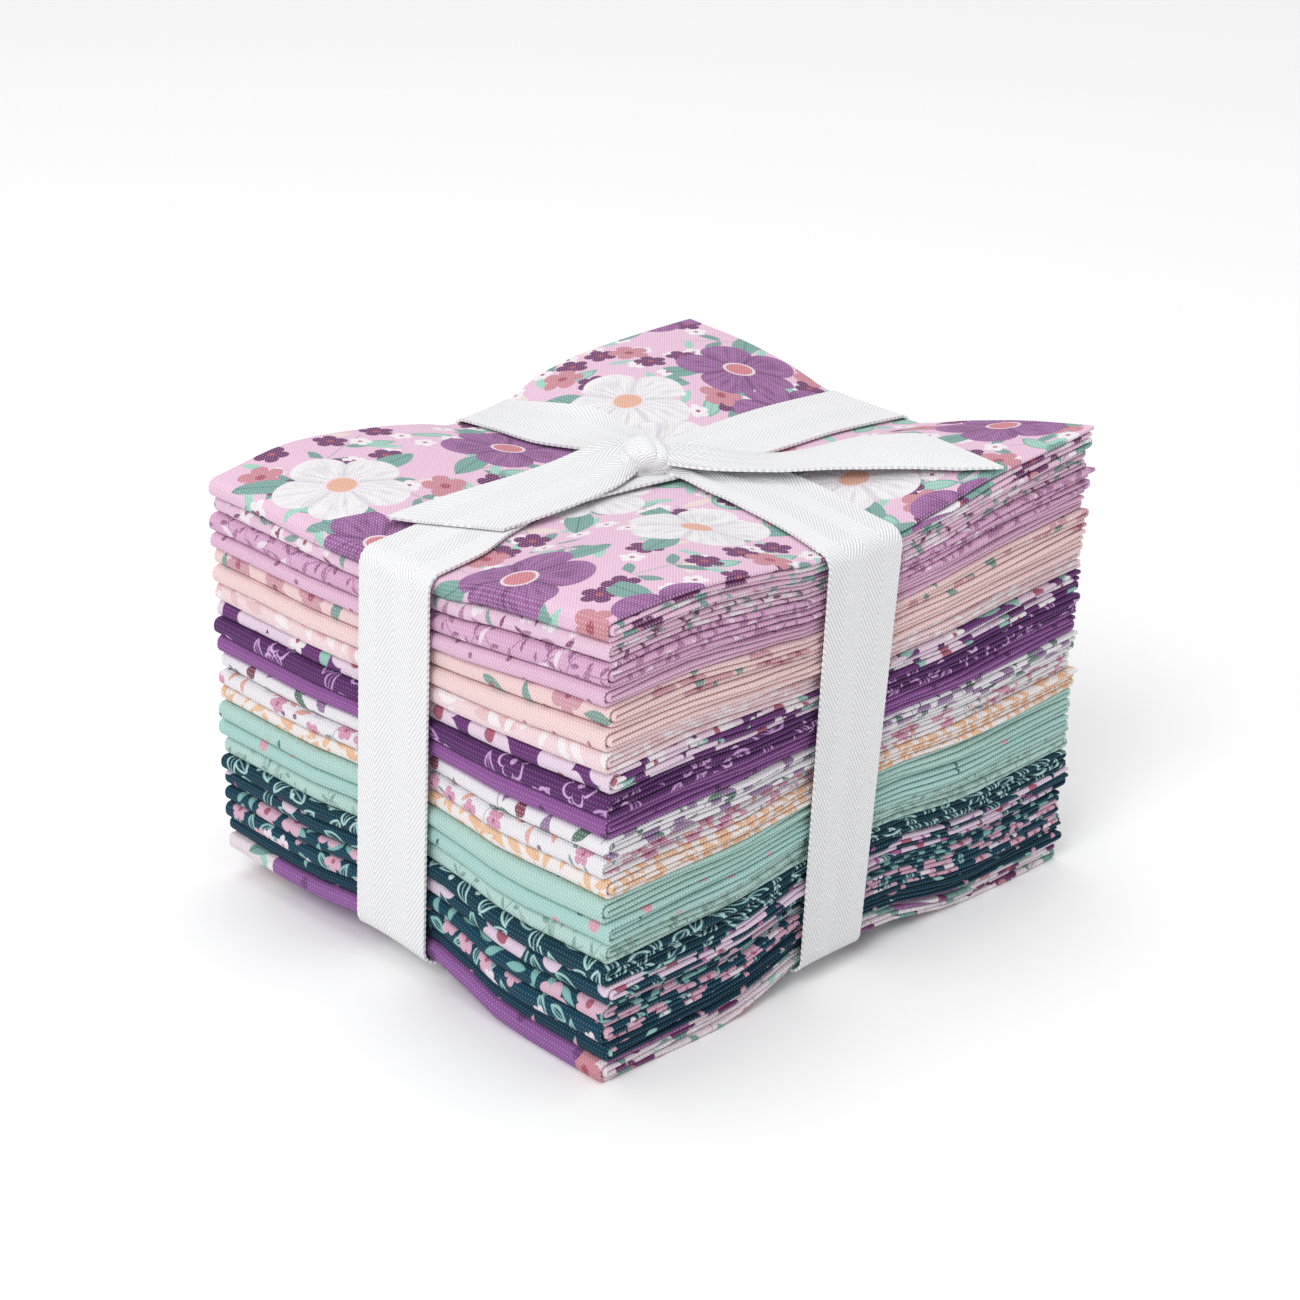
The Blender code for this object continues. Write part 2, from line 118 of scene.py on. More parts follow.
# How far the ribbon draws the sides in, over which half width, and how far a fold may
# stand out of line
SQUEEZE = 0.0016
SQUEEZE_SPREAD = 0.020
STAND_OUT = 0.0009

# How far the long edges and the short ends of a cut drift out of line, the lengths of the
# waves in that drift, and the share of it that shows on the far edges
EDGE_DRIFT = 0.0008
EDGE_WAVES = (0.047, 0.083, 0.19)
END_DRIFT = 0.00035
END_WAVES = (0.031, 0.074, 0.15)
FAR_EDGE_SHARE = 0.7

# Ribbon: its size, its clearance from the cloth, and the bend over the stack's edges
RIBBON_WIDTH = 0.020
RIBBON_THICKNESS = 0.00055
RIBBON_CLEAR = 0.00045
RIBBON_BEND = 0.0030
RIBBON_ACROSS = 19
RIBBON_STEP = 0.00045
RIBBON_BEND_ROWS = 9
RIBBON_SIDE_HEIGHT = 0.085
SELVEDGE_PITCH = 0.0013
SELVEDGE_DEPTH = 0.00008

# Pleats of the two turns beside the knot: how far along they reach, how many lie across
# the ribbon and where the first one is, then how far each turn is lifted there and half
# of how high its pleats stand
PLEAT_SPREAD = 0.016
PLEATS_ACROSS = 3.2
PLEAT_START = 0.13
LIFT_ALONG_X = 0.0004
PLEAT_ALONG_X = 0.0003
LIFT_ALONG_Y = 0.0013
PLEAT_ALONG_Y = 0.0005

# Where the two turns of the ribbon run on top of the stack and under it. Columns: place
# along the turn and distance of the ribbon's middle to the side of the stack's middle
# line, both in millimetres, and its width as a share of the full width.
LOOP_ALONG_X = {
    "top": [
        (-67.0, -0.4, 1.0),
        (-56.0, 0.6, 0.98),
        (-44.0, 3.2, 0.84),
        (-30.0, 4.6, 0.68),
        (-20.0, 3.4, 0.66),
        (-9.0, 2.2, 0.74),
        (1.0, 1.2, 0.86),
        (14.0, 0.8, 0.95),
        (34.0, 0.4, 1.0),
        (67.0, 0.4, 1.0),
    ],
    "under": [(-67.0, 3.2, 1.0), (67.0, 0.6, 1.0)],
}
LOOP_ALONG_Y = {
    "top": [
        (-58.0, -0.8, 1.0),
        (-47.0, 2.0, 0.94),
        (-35.0, 4.6, 0.92),
        (-20.0, 6.4, 0.84),
        (-9.0, 5.4, 0.62),
        (1.0, 1.6, 0.50),
        (10.0, 3.6, 0.55),
        (20.0, 5.4, 0.68),
        (34.0, 5.0, 0.96),
        (46.0, 4.2, 0.84),
        (58.0, 3.4, 0.66),
    ],
    "under": [(-58.0, -5.8, 0.86), (58.0, 1.0, 1.0)],
}

# Free ends of the ribbon. Columns: x and y of its middle, height of its underside above
# the cloth at the -Y edge and at the +Y edge, half of its width, all in millimetres.
# The last row is the middle of the slanting cut, and the lean is how much further out
# the cut is at the +Y edge.
TAIL_LEFT = [
    (-3.0, 3.0, 3.4, 4.4, 4.4),
    (-8.0, 3.6, 2.6, 3.8, 6.6),
    (-15.5, 3.9, 1.8, 2.8, 8.2),
    (-28.0, 4.6, 1.4, 1.7, 9.6),
    (-40.0, 5.2, 1.3, 1.4, 10.0),
    (-49.7, 5.4, 1.3, 1.3, 10.0),
]
TAIL_RIGHT = [
    (2.0, -3.0, 3.6, 3.6, 4.2),
    (6.5, -9.8, 3.5, 3.2, 5.6),
    (12.3, -16.0, 3.4, 2.1, 7.0),
    (20.0, -22.6, 3.2, 1.2, 8.6),
    (28.5, -31.6, 2.4, 0.8, 9.8),
    (39.9, -44.9, 0.8, 0.7, 10.0),
]
TAIL_LEFT_LEAN = 0.0060
TAIL_RIGHT_LEAN = -0.0085

# Ridges of a free end beside the knot in the same way, its crown, and the length over
# which its direction is taken
RIDGE_SPREAD = 0.013
RIDGES_ACROSS = 1.7
RIDGE_START = 0.2
RIDGE_HEIGHT = 0.0007
TAIL_CROWN = 0.0004
HEADING_SPAN = 0.001

# Knot: its middle, its half sizes across the view of the front corner, along it and
# upwards, and its turn about Z
KNOT_CENTRE = np.array([-0.0014, 0.0009])
KNOT_RISE = 0.0036
KNOT_HALF = (0.0050, 0.0058, 0.0032)
KNOT_TURN = math.radians(-44.5)

# The knot's mesh: its rows, its columns and the angle left open at each pole. Its creases:
# share of the radius, number round it, slant and sharpness, then a slower swelling. It
# dips by this much towards its front.
KNOT_ROWS = 44
KNOT_COLUMNS = 120
KNOT_POLE = 0.03
CREASE_DEPTH = 0.20
CREASE_HALVES = 4.5
CREASE_START = 0.8
CREASE_SLANT = 1.6
CREASE_SHARPNESS = 0.6
SWELL_DEPTH = 0.05
SWELLS = 3
SWELL_START = 0.4
KNOT_SQUARENESS = 3
KNOT_DIP = 0.0007

# Threads as drawn, in millimetres: two threads of the cotton, and one rib of the tape
# measured along it. The slant is how far a rib runs along for each step across.
WEAVE_REPEAT_MM = 0.75
TWILL_PITCH_MM = 1.3
TWILL_SLANT = 1.6

# The camera: its place, the way it looks, and its lens as pixels of the photo's frame
CAMERA_PLACE = (-0.36780, -0.37443, 0.27634)
CAMERA_AZIMUTH = -44.475
CAMERA_ELEVATION = 23.380
CAMERA_ROLL = 0.857
CAMERA_FOCAL_PIXELS = 2800
CAMERA_IMAGE_PIXELS = 1300
CAMERA_SENSOR_MM = 36.0

# Studio. Columns of the lights: name, place, diameter, power in watts.
FLOOR_REACH = 4.0
SURROUND_STRENGTH = 0.62
LIGHT_AIM = (0, 0, 0.05)
LIGHTS = [
    ("key_softbox", (-1.15, -0.38, 1.20), 0.9, 11.5),
    ("overhead_softbox", (0.30, 0.40, 2.40), 2.2, 18.5),
]

# The cuts from the top of the stack to the bottom.
# Columns: name of the cloth, colour of its ground, thickness as a share of the mean, fold
# end, free end and cut edge out of line in millimetres, and whether the inner folds lie
# above or below.
CUTS = [
    ("lilac_pink_large_flowers", "F1C9E2", 1.05, 0.1, 0.5, 0.2, "below"),
    ("pale_pink_small_flowers", "F0CCE3", 0.92, -0.5, -0.3, -0.4, "above"),
    ("orchid_tone_on_tone", "E0B0D2", 1.04, 0.3, 0.6, 0.5, "below"),
    ("mauve_fine_dots", "EABFDB", 0.90, 0.6, -0.5, -0.2, "below"),
    ("peach_small_motifs", "F8D8D8", 1.00, -0.4, 0.2, 0.3, "above"),
    ("peach_plain", "F9D9D9", 1.05, 0.4, -0.4, 0.6, "below"),
    ("blush_brush_marks", "F8DDE2", 1.03, 0.2, 0.7, -0.5, "above"),
    ("purple_flowers", "6E3579", 1.00, -0.6, 0.1, 0.2, "below"),
    ("deep_purple_sketched", "5C2B69", 1.00, 0.5, -0.6, 0.4, "above"),
    ("orchid_purple_dots", "95589F", 1.05, 0.0, 0.4, -0.3, "below"),
    ("white_green_leaves", "F5F2F7", 0.96, -0.7, 0.3, 0.1, "below"),
    ("white_coral_sprigs", "F4F1F6", 0.94, 0.3, -0.7, -0.6, "above"),
    ("apricot_leaves", "F9F1F0", 0.95, -0.2, 0.5, 0.5, "below"),
    ("mint_ticks", "B4D9D2", 1.12, 0.7, 0.0, 0.0, "above"),
    ("mint_small_motifs", "B0D9D4", 1.06, 0.1, -0.4, 0.4, "below"),
    ("sage_leaf_sketch", "BCDCD6", 1.07, -0.5, 0.6, -0.4, "below"),
    ("deep_teal_leaf_outlines", "003A4C", 0.95, 0.5, -0.2, 0.3, "above"),
    ("navy_pink_petals", "003D52", 0.97, -0.3, 0.3, 0.6, "below"),
    ("teal_rose_sprays", "024056", 0.90, 0.3, -0.5, -0.3, "below"),
    ("navy_small_flowers", "044158", 1.06, 0.4, -0.6, -0.2, "above"),
    ("deep_teal_plain", "00384E", 0.90, -0.6, 0.2, 0.1, "below"),
    ("orchid_purple_border", "965EA4", 1.08, 0.2, -0.3, -0.5, "below"),
]

# Share of the stack's height below each cut, from the bottom one up
THICKNESSES = [cut[2] for cut in reversed(CUTS)]
LEVELS = np.concatenate([[0.0], np.cumsum(THICKNESSES)]) / sum(THICKNESSES)

# The small prints, painted in this order.
# Columns: cloth, motif, spacing in millimetres, size in millimetres, colour, share of
# the places that hold one.
PRINTS = [
    ("pale_pink_small_flowers", "leaf", 5.2, 2.4, "8FA8A3", 0.55),
    ("pale_pink_small_flowers", "leaf", 6.1, 2.6, "BC8CA8", 0.7),
    ("pale_pink_small_flowers", "blossom", 6.4, 2.5, "F9EFF6", 0.8),
    ("pale_pink_small_flowers", "leaf", 4.6, 1.6, "8D4F72", 0.6),
    ("orchid_tone_on_tone", "sprig", 6.6, 3.4, "A56E98", 1.0),
    ("orchid_tone_on_tone", "leaf", 4.4, 2.1, "B67FA8", 0.9),
    ("orchid_tone_on_tone", "leaf", 5.3, 2.2, "F5E0F0", 0.6),
    ("mauve_fine_dots", "dot", 7.5, 0.7, "A0698E", 0.8),
    ("peach_small_motifs", "leaf", 9.0, 3.8, "86A59D", 0.6),
    ("peach_small_motifs", "blossom", 12.0, 4.0, "D9A3B0", 0.55),
    ("peach_small_motifs", "dot", 7.0, 0.9, "A05A6C", 0.5),
    ("peach_plain", "dot", 9.0, 0.6, "B56D8A", 0.4),
    ("blush_brush_marks", "leaf", 6.2, 3.2, "EFC9CD", 0.6),
    ("blush_brush_marks", "leaf", 4.6, 3.0, "FCF5F8", 0.95),
    ("purple_flowers", "leaf", 10.0, 4.6, "9FCDC2", 0.6),
    ("purple_flowers", "blossom", 15.0, 6.6, "EFDAEC", 0.8),
    ("purple_flowers", "blossom", 9.0, 2.8, "FAF4F8", 0.5),
    ("deep_purple_sketched", "veined", 7.0, 3.4, "CF9FD8", 0.8),
    ("deep_purple_sketched", "outline", 9.5, 3.8, "DCB2E3", 0.8),
    ("orchid_purple_dots", "leaf", 12.0, 1.6, "85558F", 0.6),
    ("orchid_purple_dots", "dot", 9.0, 0.9, "643A6E", 0.7),
    ("white_green_leaves", "sprig", 15.0, 7.5, "6E8A82", 0.75),
    ("white_green_leaves", "leaf", 9.0, 4.4, "9C7CA6", 0.8),
    ("white_green_leaves", "leaf", 9.0, 3.4, "5F7F72", 0.5),
    ("white_green_leaves", "dot", 9.0, 1.5, "8C4A62", 0.6),
    ("white_coral_sprigs", "sprig", 8.0, 3.8, "8FA6AE", 0.6),
    ("white_coral_sprigs", "leaf", 4.8, 2.2, "E8AFA4", 0.5),
    ("white_coral_sprigs", "blossom", 6.4, 2.3, "DC9DBB", 0.7),
    ("white_coral_sprigs", "dot", 5.0, 0.7, "8B5C8A", 0.6),
    ("apricot_leaves", "leaf", 4.0, 2.9, "F4C7A2", 1.0),
    ("apricot_leaves", "sprig", 6.2, 3.2, "EFBB95", 0.8),
    ("mint_ticks", "tick", 9.0, 1.3, "4F7F78", 0.6),
    ("mint_small_motifs", "dot", 11.0, 1.4, "E5A9B8", 0.6),
    ("mint_small_motifs", "tick", 8.0, 1.1, "3F6F70", 0.5),
    ("sage_leaf_sketch", "leaf", 4.6, 2.5, "A3C3BB", 0.8),
    ("sage_leaf_sketch", "sprig", 6.4, 3.4, "84ABA1", 0.95),
    ("deep_teal_leaf_outlines", "dot", 6.0, 0.7, "CDEBEA", 0.5),
    ("deep_teal_leaf_outlines", "veined", 5.6, 3.5, "B8E2E0", 1.0),
    ("navy_pink_petals", "veined", 7.0, 3.6, "A3D3CB", 0.9),
    ("navy_pink_petals", "blossom", 16.0, 6.6, "ECD7EA", 0.8),
    ("navy_pink_petals", "leaf", 7.0, 1.9, "B869A8", 0.4),
    ("teal_rose_sprays", "leaf", 5.0, 2.7, "86BDB9", 1.0),
    ("teal_rose_sprays", "blossom", 11.0, 4.0, "E3B9CE", 0.65),
    ("navy_small_flowers", "veined", 5.0, 2.6, "9CCFCB", 0.95),
    ("navy_small_flowers", "blossom", 6.4, 2.5, "E3B4CB", 0.7),
    ("navy_small_flowers", "blossom", 7.0, 2.1, "F3EAF4", 0.6),
    ("deep_teal_plain", "leaf", 10.0, 2.0, "D9A9BE", 0.6),
    ("deep_teal_plain", "leaf", 9.0, 1.8, "9CCFC6", 0.6),
    ("orchid_purple_border", "dot", 9.0, 1.2, "74487E", 0.7),
]

# The large tossed print of the top cut, under its big flowers, in the same columns, the
# last one the seed of its layout
TOP_PRINT = [
    ("leaf", 15.0, 4.2, "F6E2DC", 0.45, 31),
    ("sprig", 24.0, 9.0, "7FA39F", 0.8, 32),
    ("veined", 14.0, 4.8, "7DB5A6", 0.6, 33),
    ("leaf", 11.0, 3.4, "A9D9C9", 0.55, 38),
    ("blossom", 8.0, 2.6, "FBF4FA", 0.45, 34),
    ("blossom", 12.5, 3.8, "76386F", 0.5, 35),
    ("blossom", 14.5, 4.8, "D28E9B", 0.34, 36),
]

# Colours of the big flowers: petal, its streaks, heart. Then those of the ring round the
# heart, of the leaves round the flower and of their veins.
BLOOM_WHITE = ("F9F5F8", "D5D2DC", "EDB79F")
BLOOM_PURPLE = ("A56BA6", "6A3268", "D98590")
BLOOM_RING = "F4E3EE"
BLOOM_LEAF = "7FAAA3"
BLOOM_VEIN = "4F8079"

# The big flowers in millimetres: spacing, size, radius of the ring and of the heart, then
# the middle, the length and half the width of a leaf, and half the width of its vein
BLOOM_SPACING = 37.0
BLOOM_SIZE = 14.0
BLOOM_RING_SIZE = 3.7
BLOOM_HEART_SIZE = 3.1
BLOOM_LEAF_MIDDLE = 15.0
BLOOM_LEAF_LENGTH = 14.0
BLOOM_LEAF_HALF_WIDTH = 3.0
BLOOM_VEIN_HALF_WIDTH = 0.25
BLOOM_SEED = 11

# Flowers: number of petals, how deep the notch between two of them is as a share of the
# size, deeper on a small one, how round a petal is, and the heart's share of the size
PETALS = 5
BLOSSOM_NOTCH = 0.42
BLOOM_NOTCH = 0.34
PETAL_ROUNDNESS = 0.55
BLOSSOM_HEART = 0.24
OUTLINE_HEART = 0.2

# Half widths of leaves and ticks as shares of their size, the width of drawn lines, and
# how much shorter and narrower the inside of a veined leaf is, in millimetres
LEAF_HALF_WIDTHS = {"leaf": 0.34, "veined": 0.42, "tick": 0.45}
PEN_WIDTH = 0.55
VEIN_HALF_WIDTH = 0.2
VEINED_SHORTER = 1.6
VEINED_NARROWER = 0.45

# Sprigs, as shares of their size: step from a pair of leaves to the next, reach of a leaf
# to the side, half its width, and its backward slant. The stem's half width is in
# millimetres.
SPRIG_STEP = 0.55
SPRIG_REACH = 0.6
SPRIG_LEAF = 0.19
SPRIG_SLANT = -0.7
SPRIG_STEM = 0.22

# Hearts of small blossoms, on the top cut and on the others, and the body of the top
# cut's veined leaves
TOP_BLOSSOM_HEART = "B0576A"
SMALL_BLOSSOM_HEART = "B4647C"
VEINED_BODY = "A8D6C8"

# The lowest cut is purple along a line across its width, and past a distance from that
# line, both in metres, it holds big flowers on a pale ground
BORDER_MIDDLE = 0.0615
BORDER_FROM = 0.046
BORDER_GROUND = "F2E3EC"


def linear(hex_colour):
    """Linear RGBA of an sRGB hex colour."""
    channels = [int(hex_colour[start:start + 2], 16) / 255 for start in (0, 2, 4)]
    values = [c / 12.92 if c <= 0.04045 else ((c + 0.055) / 1.055) ** 2.4 for c in channels]
    return (*values, 1.0)


def eased(stations, values, at):
    """Values at places between stations, by cubic pieces that never overshoot.

    The slope at a station is the harmonic mean of the slopes on its two sides, and nil
    on a crest or in a hollow. The last axis of the values runs over the stations.
    """
    values = np.broadcast_to(np.asarray(values, float), np.shape(at) + (len(stations),))
    gaps = np.diff(stations)
    slopes = np.diff(values, axis=-1) / gaps
    product = slopes[..., :-1] * slopes[..., 1:]
    total = slopes[..., :-1] + slopes[..., 1:]
    inner = np.where(product > 0, 2 * product / np.where(product > 0, total, 1.0), 0.0)
    tangents = np.concatenate([slopes[..., :1], inner, slopes[..., -1:]], axis=-1)
    cell = np.clip(np.searchsorted(stations, at, side="right") - 1, 0, len(stations) - 2)
    share = (at - stations[cell]) / gaps[cell]
    low, rise = (np.take_along_axis(table, cell[..., None], -1)[..., 0] for table in (values, tangents))
    high, fall = (np.take_along_axis(table, cell[..., None] + 1, -1)[..., 0]
                  for table in (values, tangents))
    bend = share * share * (3 - 2 * share)
    leave = share * (1 - share) ** 2
    arrive = share * share * (share - 1)
    return low + (high - low) * bend + (rise * leave + fall * arrive) * gaps[cell]


def top_height(x, y):
    """Height of the stack's top: its table eased along X, then along Y."""
    x, y = np.broadcast_arrays(x, y)
    skew = PINCH_SHIFT * (y / STACK_DEPTH + 0.5) * np.exp(-((x - PINCH_SIDE) / PINCH_SPREAD) ** 2)
    rows = [eased(TOP_X, np.array(row) * MM, x - skew) for row in TOP_HEIGHTS]
    return eased(TOP_Y, np.stack(rows, axis=-1), y)


def bottom_height(x, y):
    """Height of the stack's underside: its table eased along X, then along Y."""
    x, y = np.broadcast_arrays(x, y)
    rows = [eased(BOTTOM_X, np.array(row) * MM, x) for row in BOTTOM_HEIGHTS]
    return eased(BOTTOM_Y, np.stack(rows, axis=-1), y)


def wander(at, seed, reach, lengths):
    """A slow uneven drift: the mean of sine waves of some lengths, each begun anywhere."""
    random = np.random.default_rng(seed)
    waves = [np.sin(at * 2 * math.pi / length + random.uniform(0, 2 * math.pi)) for length in lengths]
    return reach * sum(waves) / len(waves)


def under_ribbon(sideways):
    """A flat-topped bell over the distance from the ribbon's line: 1 on it, nil far off."""
    return np.exp(-(sideways / SQUEEZE_SPREAD) ** 4)


def drawn_in(value, half, sideways):
    """Inward move under the ribbon: greatest at the side, and falling off inwards."""
    near_edge = np.minimum(np.abs(value) / half, 1.0) ** 8
    return -np.sign(value) * SQUEEZE * near_edge * under_ribbon(sideways)


def settle(x, y, flat_height):
    """Points of the flat stack moved to where they lie in the tied bundle.

    The height is shared out between the underside and the top in proportion.
    """
    level = np.interp(flat_height / PACKET_PITCH, range(len(LEVELS)), LEVELS)
    low = bottom_height(x, y)
    high = top_height(x, y)
    moved_x = x + drawn_in(x, STACK_WIDTH / 2, y)
    moved_y = y + drawn_in(y, STACK_DEPTH / 2, x)
    return np.stack([moved_x, moved_y, low + (high - low) * level], axis=-1)


def back_and_forth(fold, turn, free, inner_free, pitch, run, fold_points, power):
    """Line of a strip folded twice, in a plane: points, right-hand normals, run lengths.

    It runs from its free end along the top level to the fold, round it to the lowest
    level, back at the turn to the level above, inside the fold to the third level, and
    out to its inner free end. Each fold is half of a superellipse.
    """
    angles = np.linspace(math.pi / 2, -math.pi / 2, fold_points)
    round_x = np.abs(np.cos(angles)) ** (2 / power)
    round_z = np.sign(np.sin(angles)) * np.abs(np.sin(angles)) ** (2 / power)
    outer, small = 1.5 * pitch, 0.5 * pitch
    levels = pitch * (np.arange(4) + 0.5)
    pieces = [
        [(free, levels[3])],
        np.stack([run[::-1], np.full(len(run), levels[3])], axis=1),
        np.stack([fold - outer * round_x, 2 * pitch + outer * round_z], axis=1),
        np.stack([run, np.full(len(run), levels[0])], axis=1),
        np.stack([turn + small * round_x, pitch - small * round_z], axis=1),
        np.stack([run[::-1], np.full(len(run), levels[1])], axis=1),
        np.stack([fold - small * round_x, 2 * pitch - small * round_z], axis=1),
        np.stack([run, np.full(len(run), levels[2])], axis=1),
        [(inner_free, levels[2])],
    ]
    points = np.concatenate(pieces)
    heading = np.gradient(points, axis=0)
    heading /= np.linalg.norm(heading, axis=1)[:, None]
    normals = np.stack([heading[:, 1], -heading[:, 0]], axis=1)
    steps = np.linalg.norm(np.diff(points, axis=0), axis=1)
    return points, normals, np.concatenate([[0.0], np.cumsum(steps)])


def shell(face, back, flat_u, flat_v, closed=False):
    """A closed sheet between two grids of points, its face and its reverse.

    The rims join the grids along their edges. Point (i, j) of a grid takes (u[i], v[j])
    as its place on the flat cloth, and the reverse is marked by an attribute.
    """
    rows, columns = face.shape[:2]
    number = np.arange(rows * columns).reshape(rows, columns)
    if closed:
        number_on = np.concatenate([number, number[:1]])
    else:
        number_on = number
    a, b = number_on[:-1, :-1], number_on[1:, :-1]
    c, d = number_on[1:, 1:], number_on[:-1, 1:]
    count = rows * columns
    quads = [np.stack([a, b, c, d], axis=-1).reshape(-1, 4),
             np.stack([d, c, b, a], axis=-1).reshape(-1, 4) + count]
    rims = [number_on[::-1, 0], number_on[:, -1]]
    if not closed:
        rims += [number[0, :], number[-1, ::-1]]
    for rim in rims:
        quads.append(np.stack([rim[:-1], rim[1:], rim[1:] + count, rim[:-1] + count], axis=-1))
    quads = np.concatenate(quads)
    points = np.concatenate([face.reshape(-1, 3), back.reshape(-1, 3)])
    return {"points": points, "quads": quads, "flat": np.tile(flat_grid(flat_u, flat_v), (2, 1)),
            "reverse": np.repeat([0.0, 1.0], count)}


def flat_grid(flat_u, flat_v):
    """Place on the flat cloth of every point of a grid, from its rows and columns."""
    if np.ndim(flat_u) == 1:
        flat_u, flat_v = np.meshgrid(flat_u, flat_v, indexing="ij")
    return np.stack([flat_u.ravel(), flat_v.ravel()], axis=1)


def add_piece(name, shells, material):
    """One mesh object from one or several shells, with its flat places as a UV map."""
    points = np.concatenate([s["points"] for s in shells])
    starts = np.cumsum([0] + [len(s["points"]) for s in shells[:-1]])
    quads = np.concatenate([s["quads"] + start for s, start in zip(shells, starts)])
    tips = [s["tips"] + start for s, start in zip(shells, starts) if "tips" in s]
    faces = quads.tolist() + [tip for part in tips for tip in part.tolist()]
    corners = np.concatenate([quads.ravel()] + [part.ravel() for part in tips])
    flat = np.concatenate([s["flat"] for s in shells])
    mesh = bpy.data.meshes.new(name)
    mesh.from_pydata(points.tolist(), [], faces)
    layer = mesh.uv_layers.new(name="cut")
    layer.uv.foreach_set("vector", flat[corners].ravel().astype(np.float32))
    mark = mesh.attributes.new("reverse", "FLOAT", "POINT")
    mark.data.foreach_set("value", np.concatenate([s["reverse"] for s in shells]).astype(np.float32))
    mesh.materials.append(material)
    mesh.shade_smooth()
    mesh.set_sharp_from_angle(angle=math.radians(62))
    mesh.update()
    obj = bpy.data.objects.new(name, mesh)
    bpy.context.scene.collection.objects.link(obj)
    return obj


def folded_cut(number, cloth, thickness, fold_out, free_out, edge_out, inner_folds, material):
    """One fat quarter: the line folded across X carries the line folded across Y.

    A point is P(u) + N(u) * t(v) in the XZ plane and y(v) across it, where P and N are
    the first line and its normal, and (y, t) the second line. Both faces lie half the
    cloth's thickness to the sides of it.
    """
    grade = "top" if number == 1 else "plain"
    run_x, run_y = (np.linspace(-reach, reach, count)
                    for reach, count in zip((RUN_REACH_X, RUN_REACH_Y), RUN_POINTS[grade]))
    free_x = STACK_WIDTH / 2 + free_out * MM
    line, across, length = back_and_forth(
        -STACK_WIDTH / 2 - fold_out * MM + PACKET_PITCH / 2, free_x - LEG_PITCH, free_x,
        free_x - INNER_END_SHORT, LEG_PITCH, run_x, FOLD_POINTS[grade][0], WIDE_FOLD_POWER)
    free_y = STACK_DEPTH / 2
    leg, leg_normal, width = back_and_forth(
        -STACK_DEPTH / 2 + LEG_PITCH / 2, free_y - INNER_FOLD_SHORT, free_y,
        free_y - INNER_FOLD_SHORT, LAYER_IN_LEG, run_y, FOLD_POINTS[grade][1], TIGHT_FOLD_POWER)
    leg = leg - np.array([0.0, LAYERS_IN_LEG * LAYER_IN_LEG / 2])
    sides = []
    for half in (CLOTH_THICKNESS / 2, -CLOTH_THICKNESS / 2):
        y, t = (leg + leg_normal * half).T
        x = line[:, :1] + across[:, :1] * t
        z = line[:, 1:] + across[:, 1:] * t
        if inner_folds == "above":
            z = PACKET_PITCH - z
        y = np.broadcast_to(y, x.shape)
        edge_sway = edge_out * MM + wander(length[:, None], 100 + number, EDGE_DRIFT, EDGE_WAVES)
        near_fold = np.clip(-y / free_y, 0, 1) ** 4
        near_edge = np.clip(y / free_y, 0, 1) ** 4
        y = y - edge_sway * near_fold + edge_sway * near_edge * FAR_EDGE_SHARE
        end_sway = wander(y, 200 + number, END_DRIFT, END_WAVES)
        x = x + end_sway * (np.abs(x) / free_x) ** 4
        sides.append(settle(x, y, PACKET_PITCH * (len(CUTS) - number) + z))
    face, back = sides
    flat_u, flat_v = np.meshgrid(length, width, indexing="ij")
    if inner_folds == "above":
        face, back, flat_u, flat_v = face[::-1], back[::-1], flat_u[::-1], flat_v[::-1]
    piece = add_piece(f"cotton_{number:02d}_{cloth}", [shell(face, back, flat_u, flat_v)], material)
    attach(piece, "root")
    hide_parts(f"fat_quarter_{number:02d}")
    return piece


def loop_rows(half):
    """Rows round a loop: share of the way out along it, level, and the normal's angle.

    The runs above and below have rows a step apart, and each bend is a quarter circle.
    """
    run = np.linspace(-1, 1, int(2 * half / RIBBON_STEP))
    rise = np.linspace(0, 1, int(RIBBON_SIDE_HEIGHT / RIBBON_STEP))[1:-1]
    upright = math.pi / 2
    bend = np.linspace(0, upright, RIBBON_BEND_ROWS)
    stretches = [
        (run, 1, upright),
        (1, 1, upright - bend),
        (1, rise[::-1], 0),
        (1, 0, -bend),
        (run[::-1], 0, -upright),
        (-1, 0, -upright - bend),
        (-1, rise, -math.pi),
        (-1, 1, math.pi - bend),
    ]
    return np.concatenate([np.stack(np.broadcast_arrays(*row)) for row in stretches], axis=1)


def smooth(value):
    """A share from 0 to 1 that leaves and arrives level."""
    value = np.clip(value, 0, 1)
    return value * value * (3 - 2 * value)


def route_values(route, place, level, column):
    """A column of a turn's two tables at every row, shared out by level down the sides."""
    top, under = (eased(np.array([row[0] for row in route[run]]) * MM,
                        [row[column] for row in route[run]], place) for run in ("top", "under"))
    return under + (top - under) * level


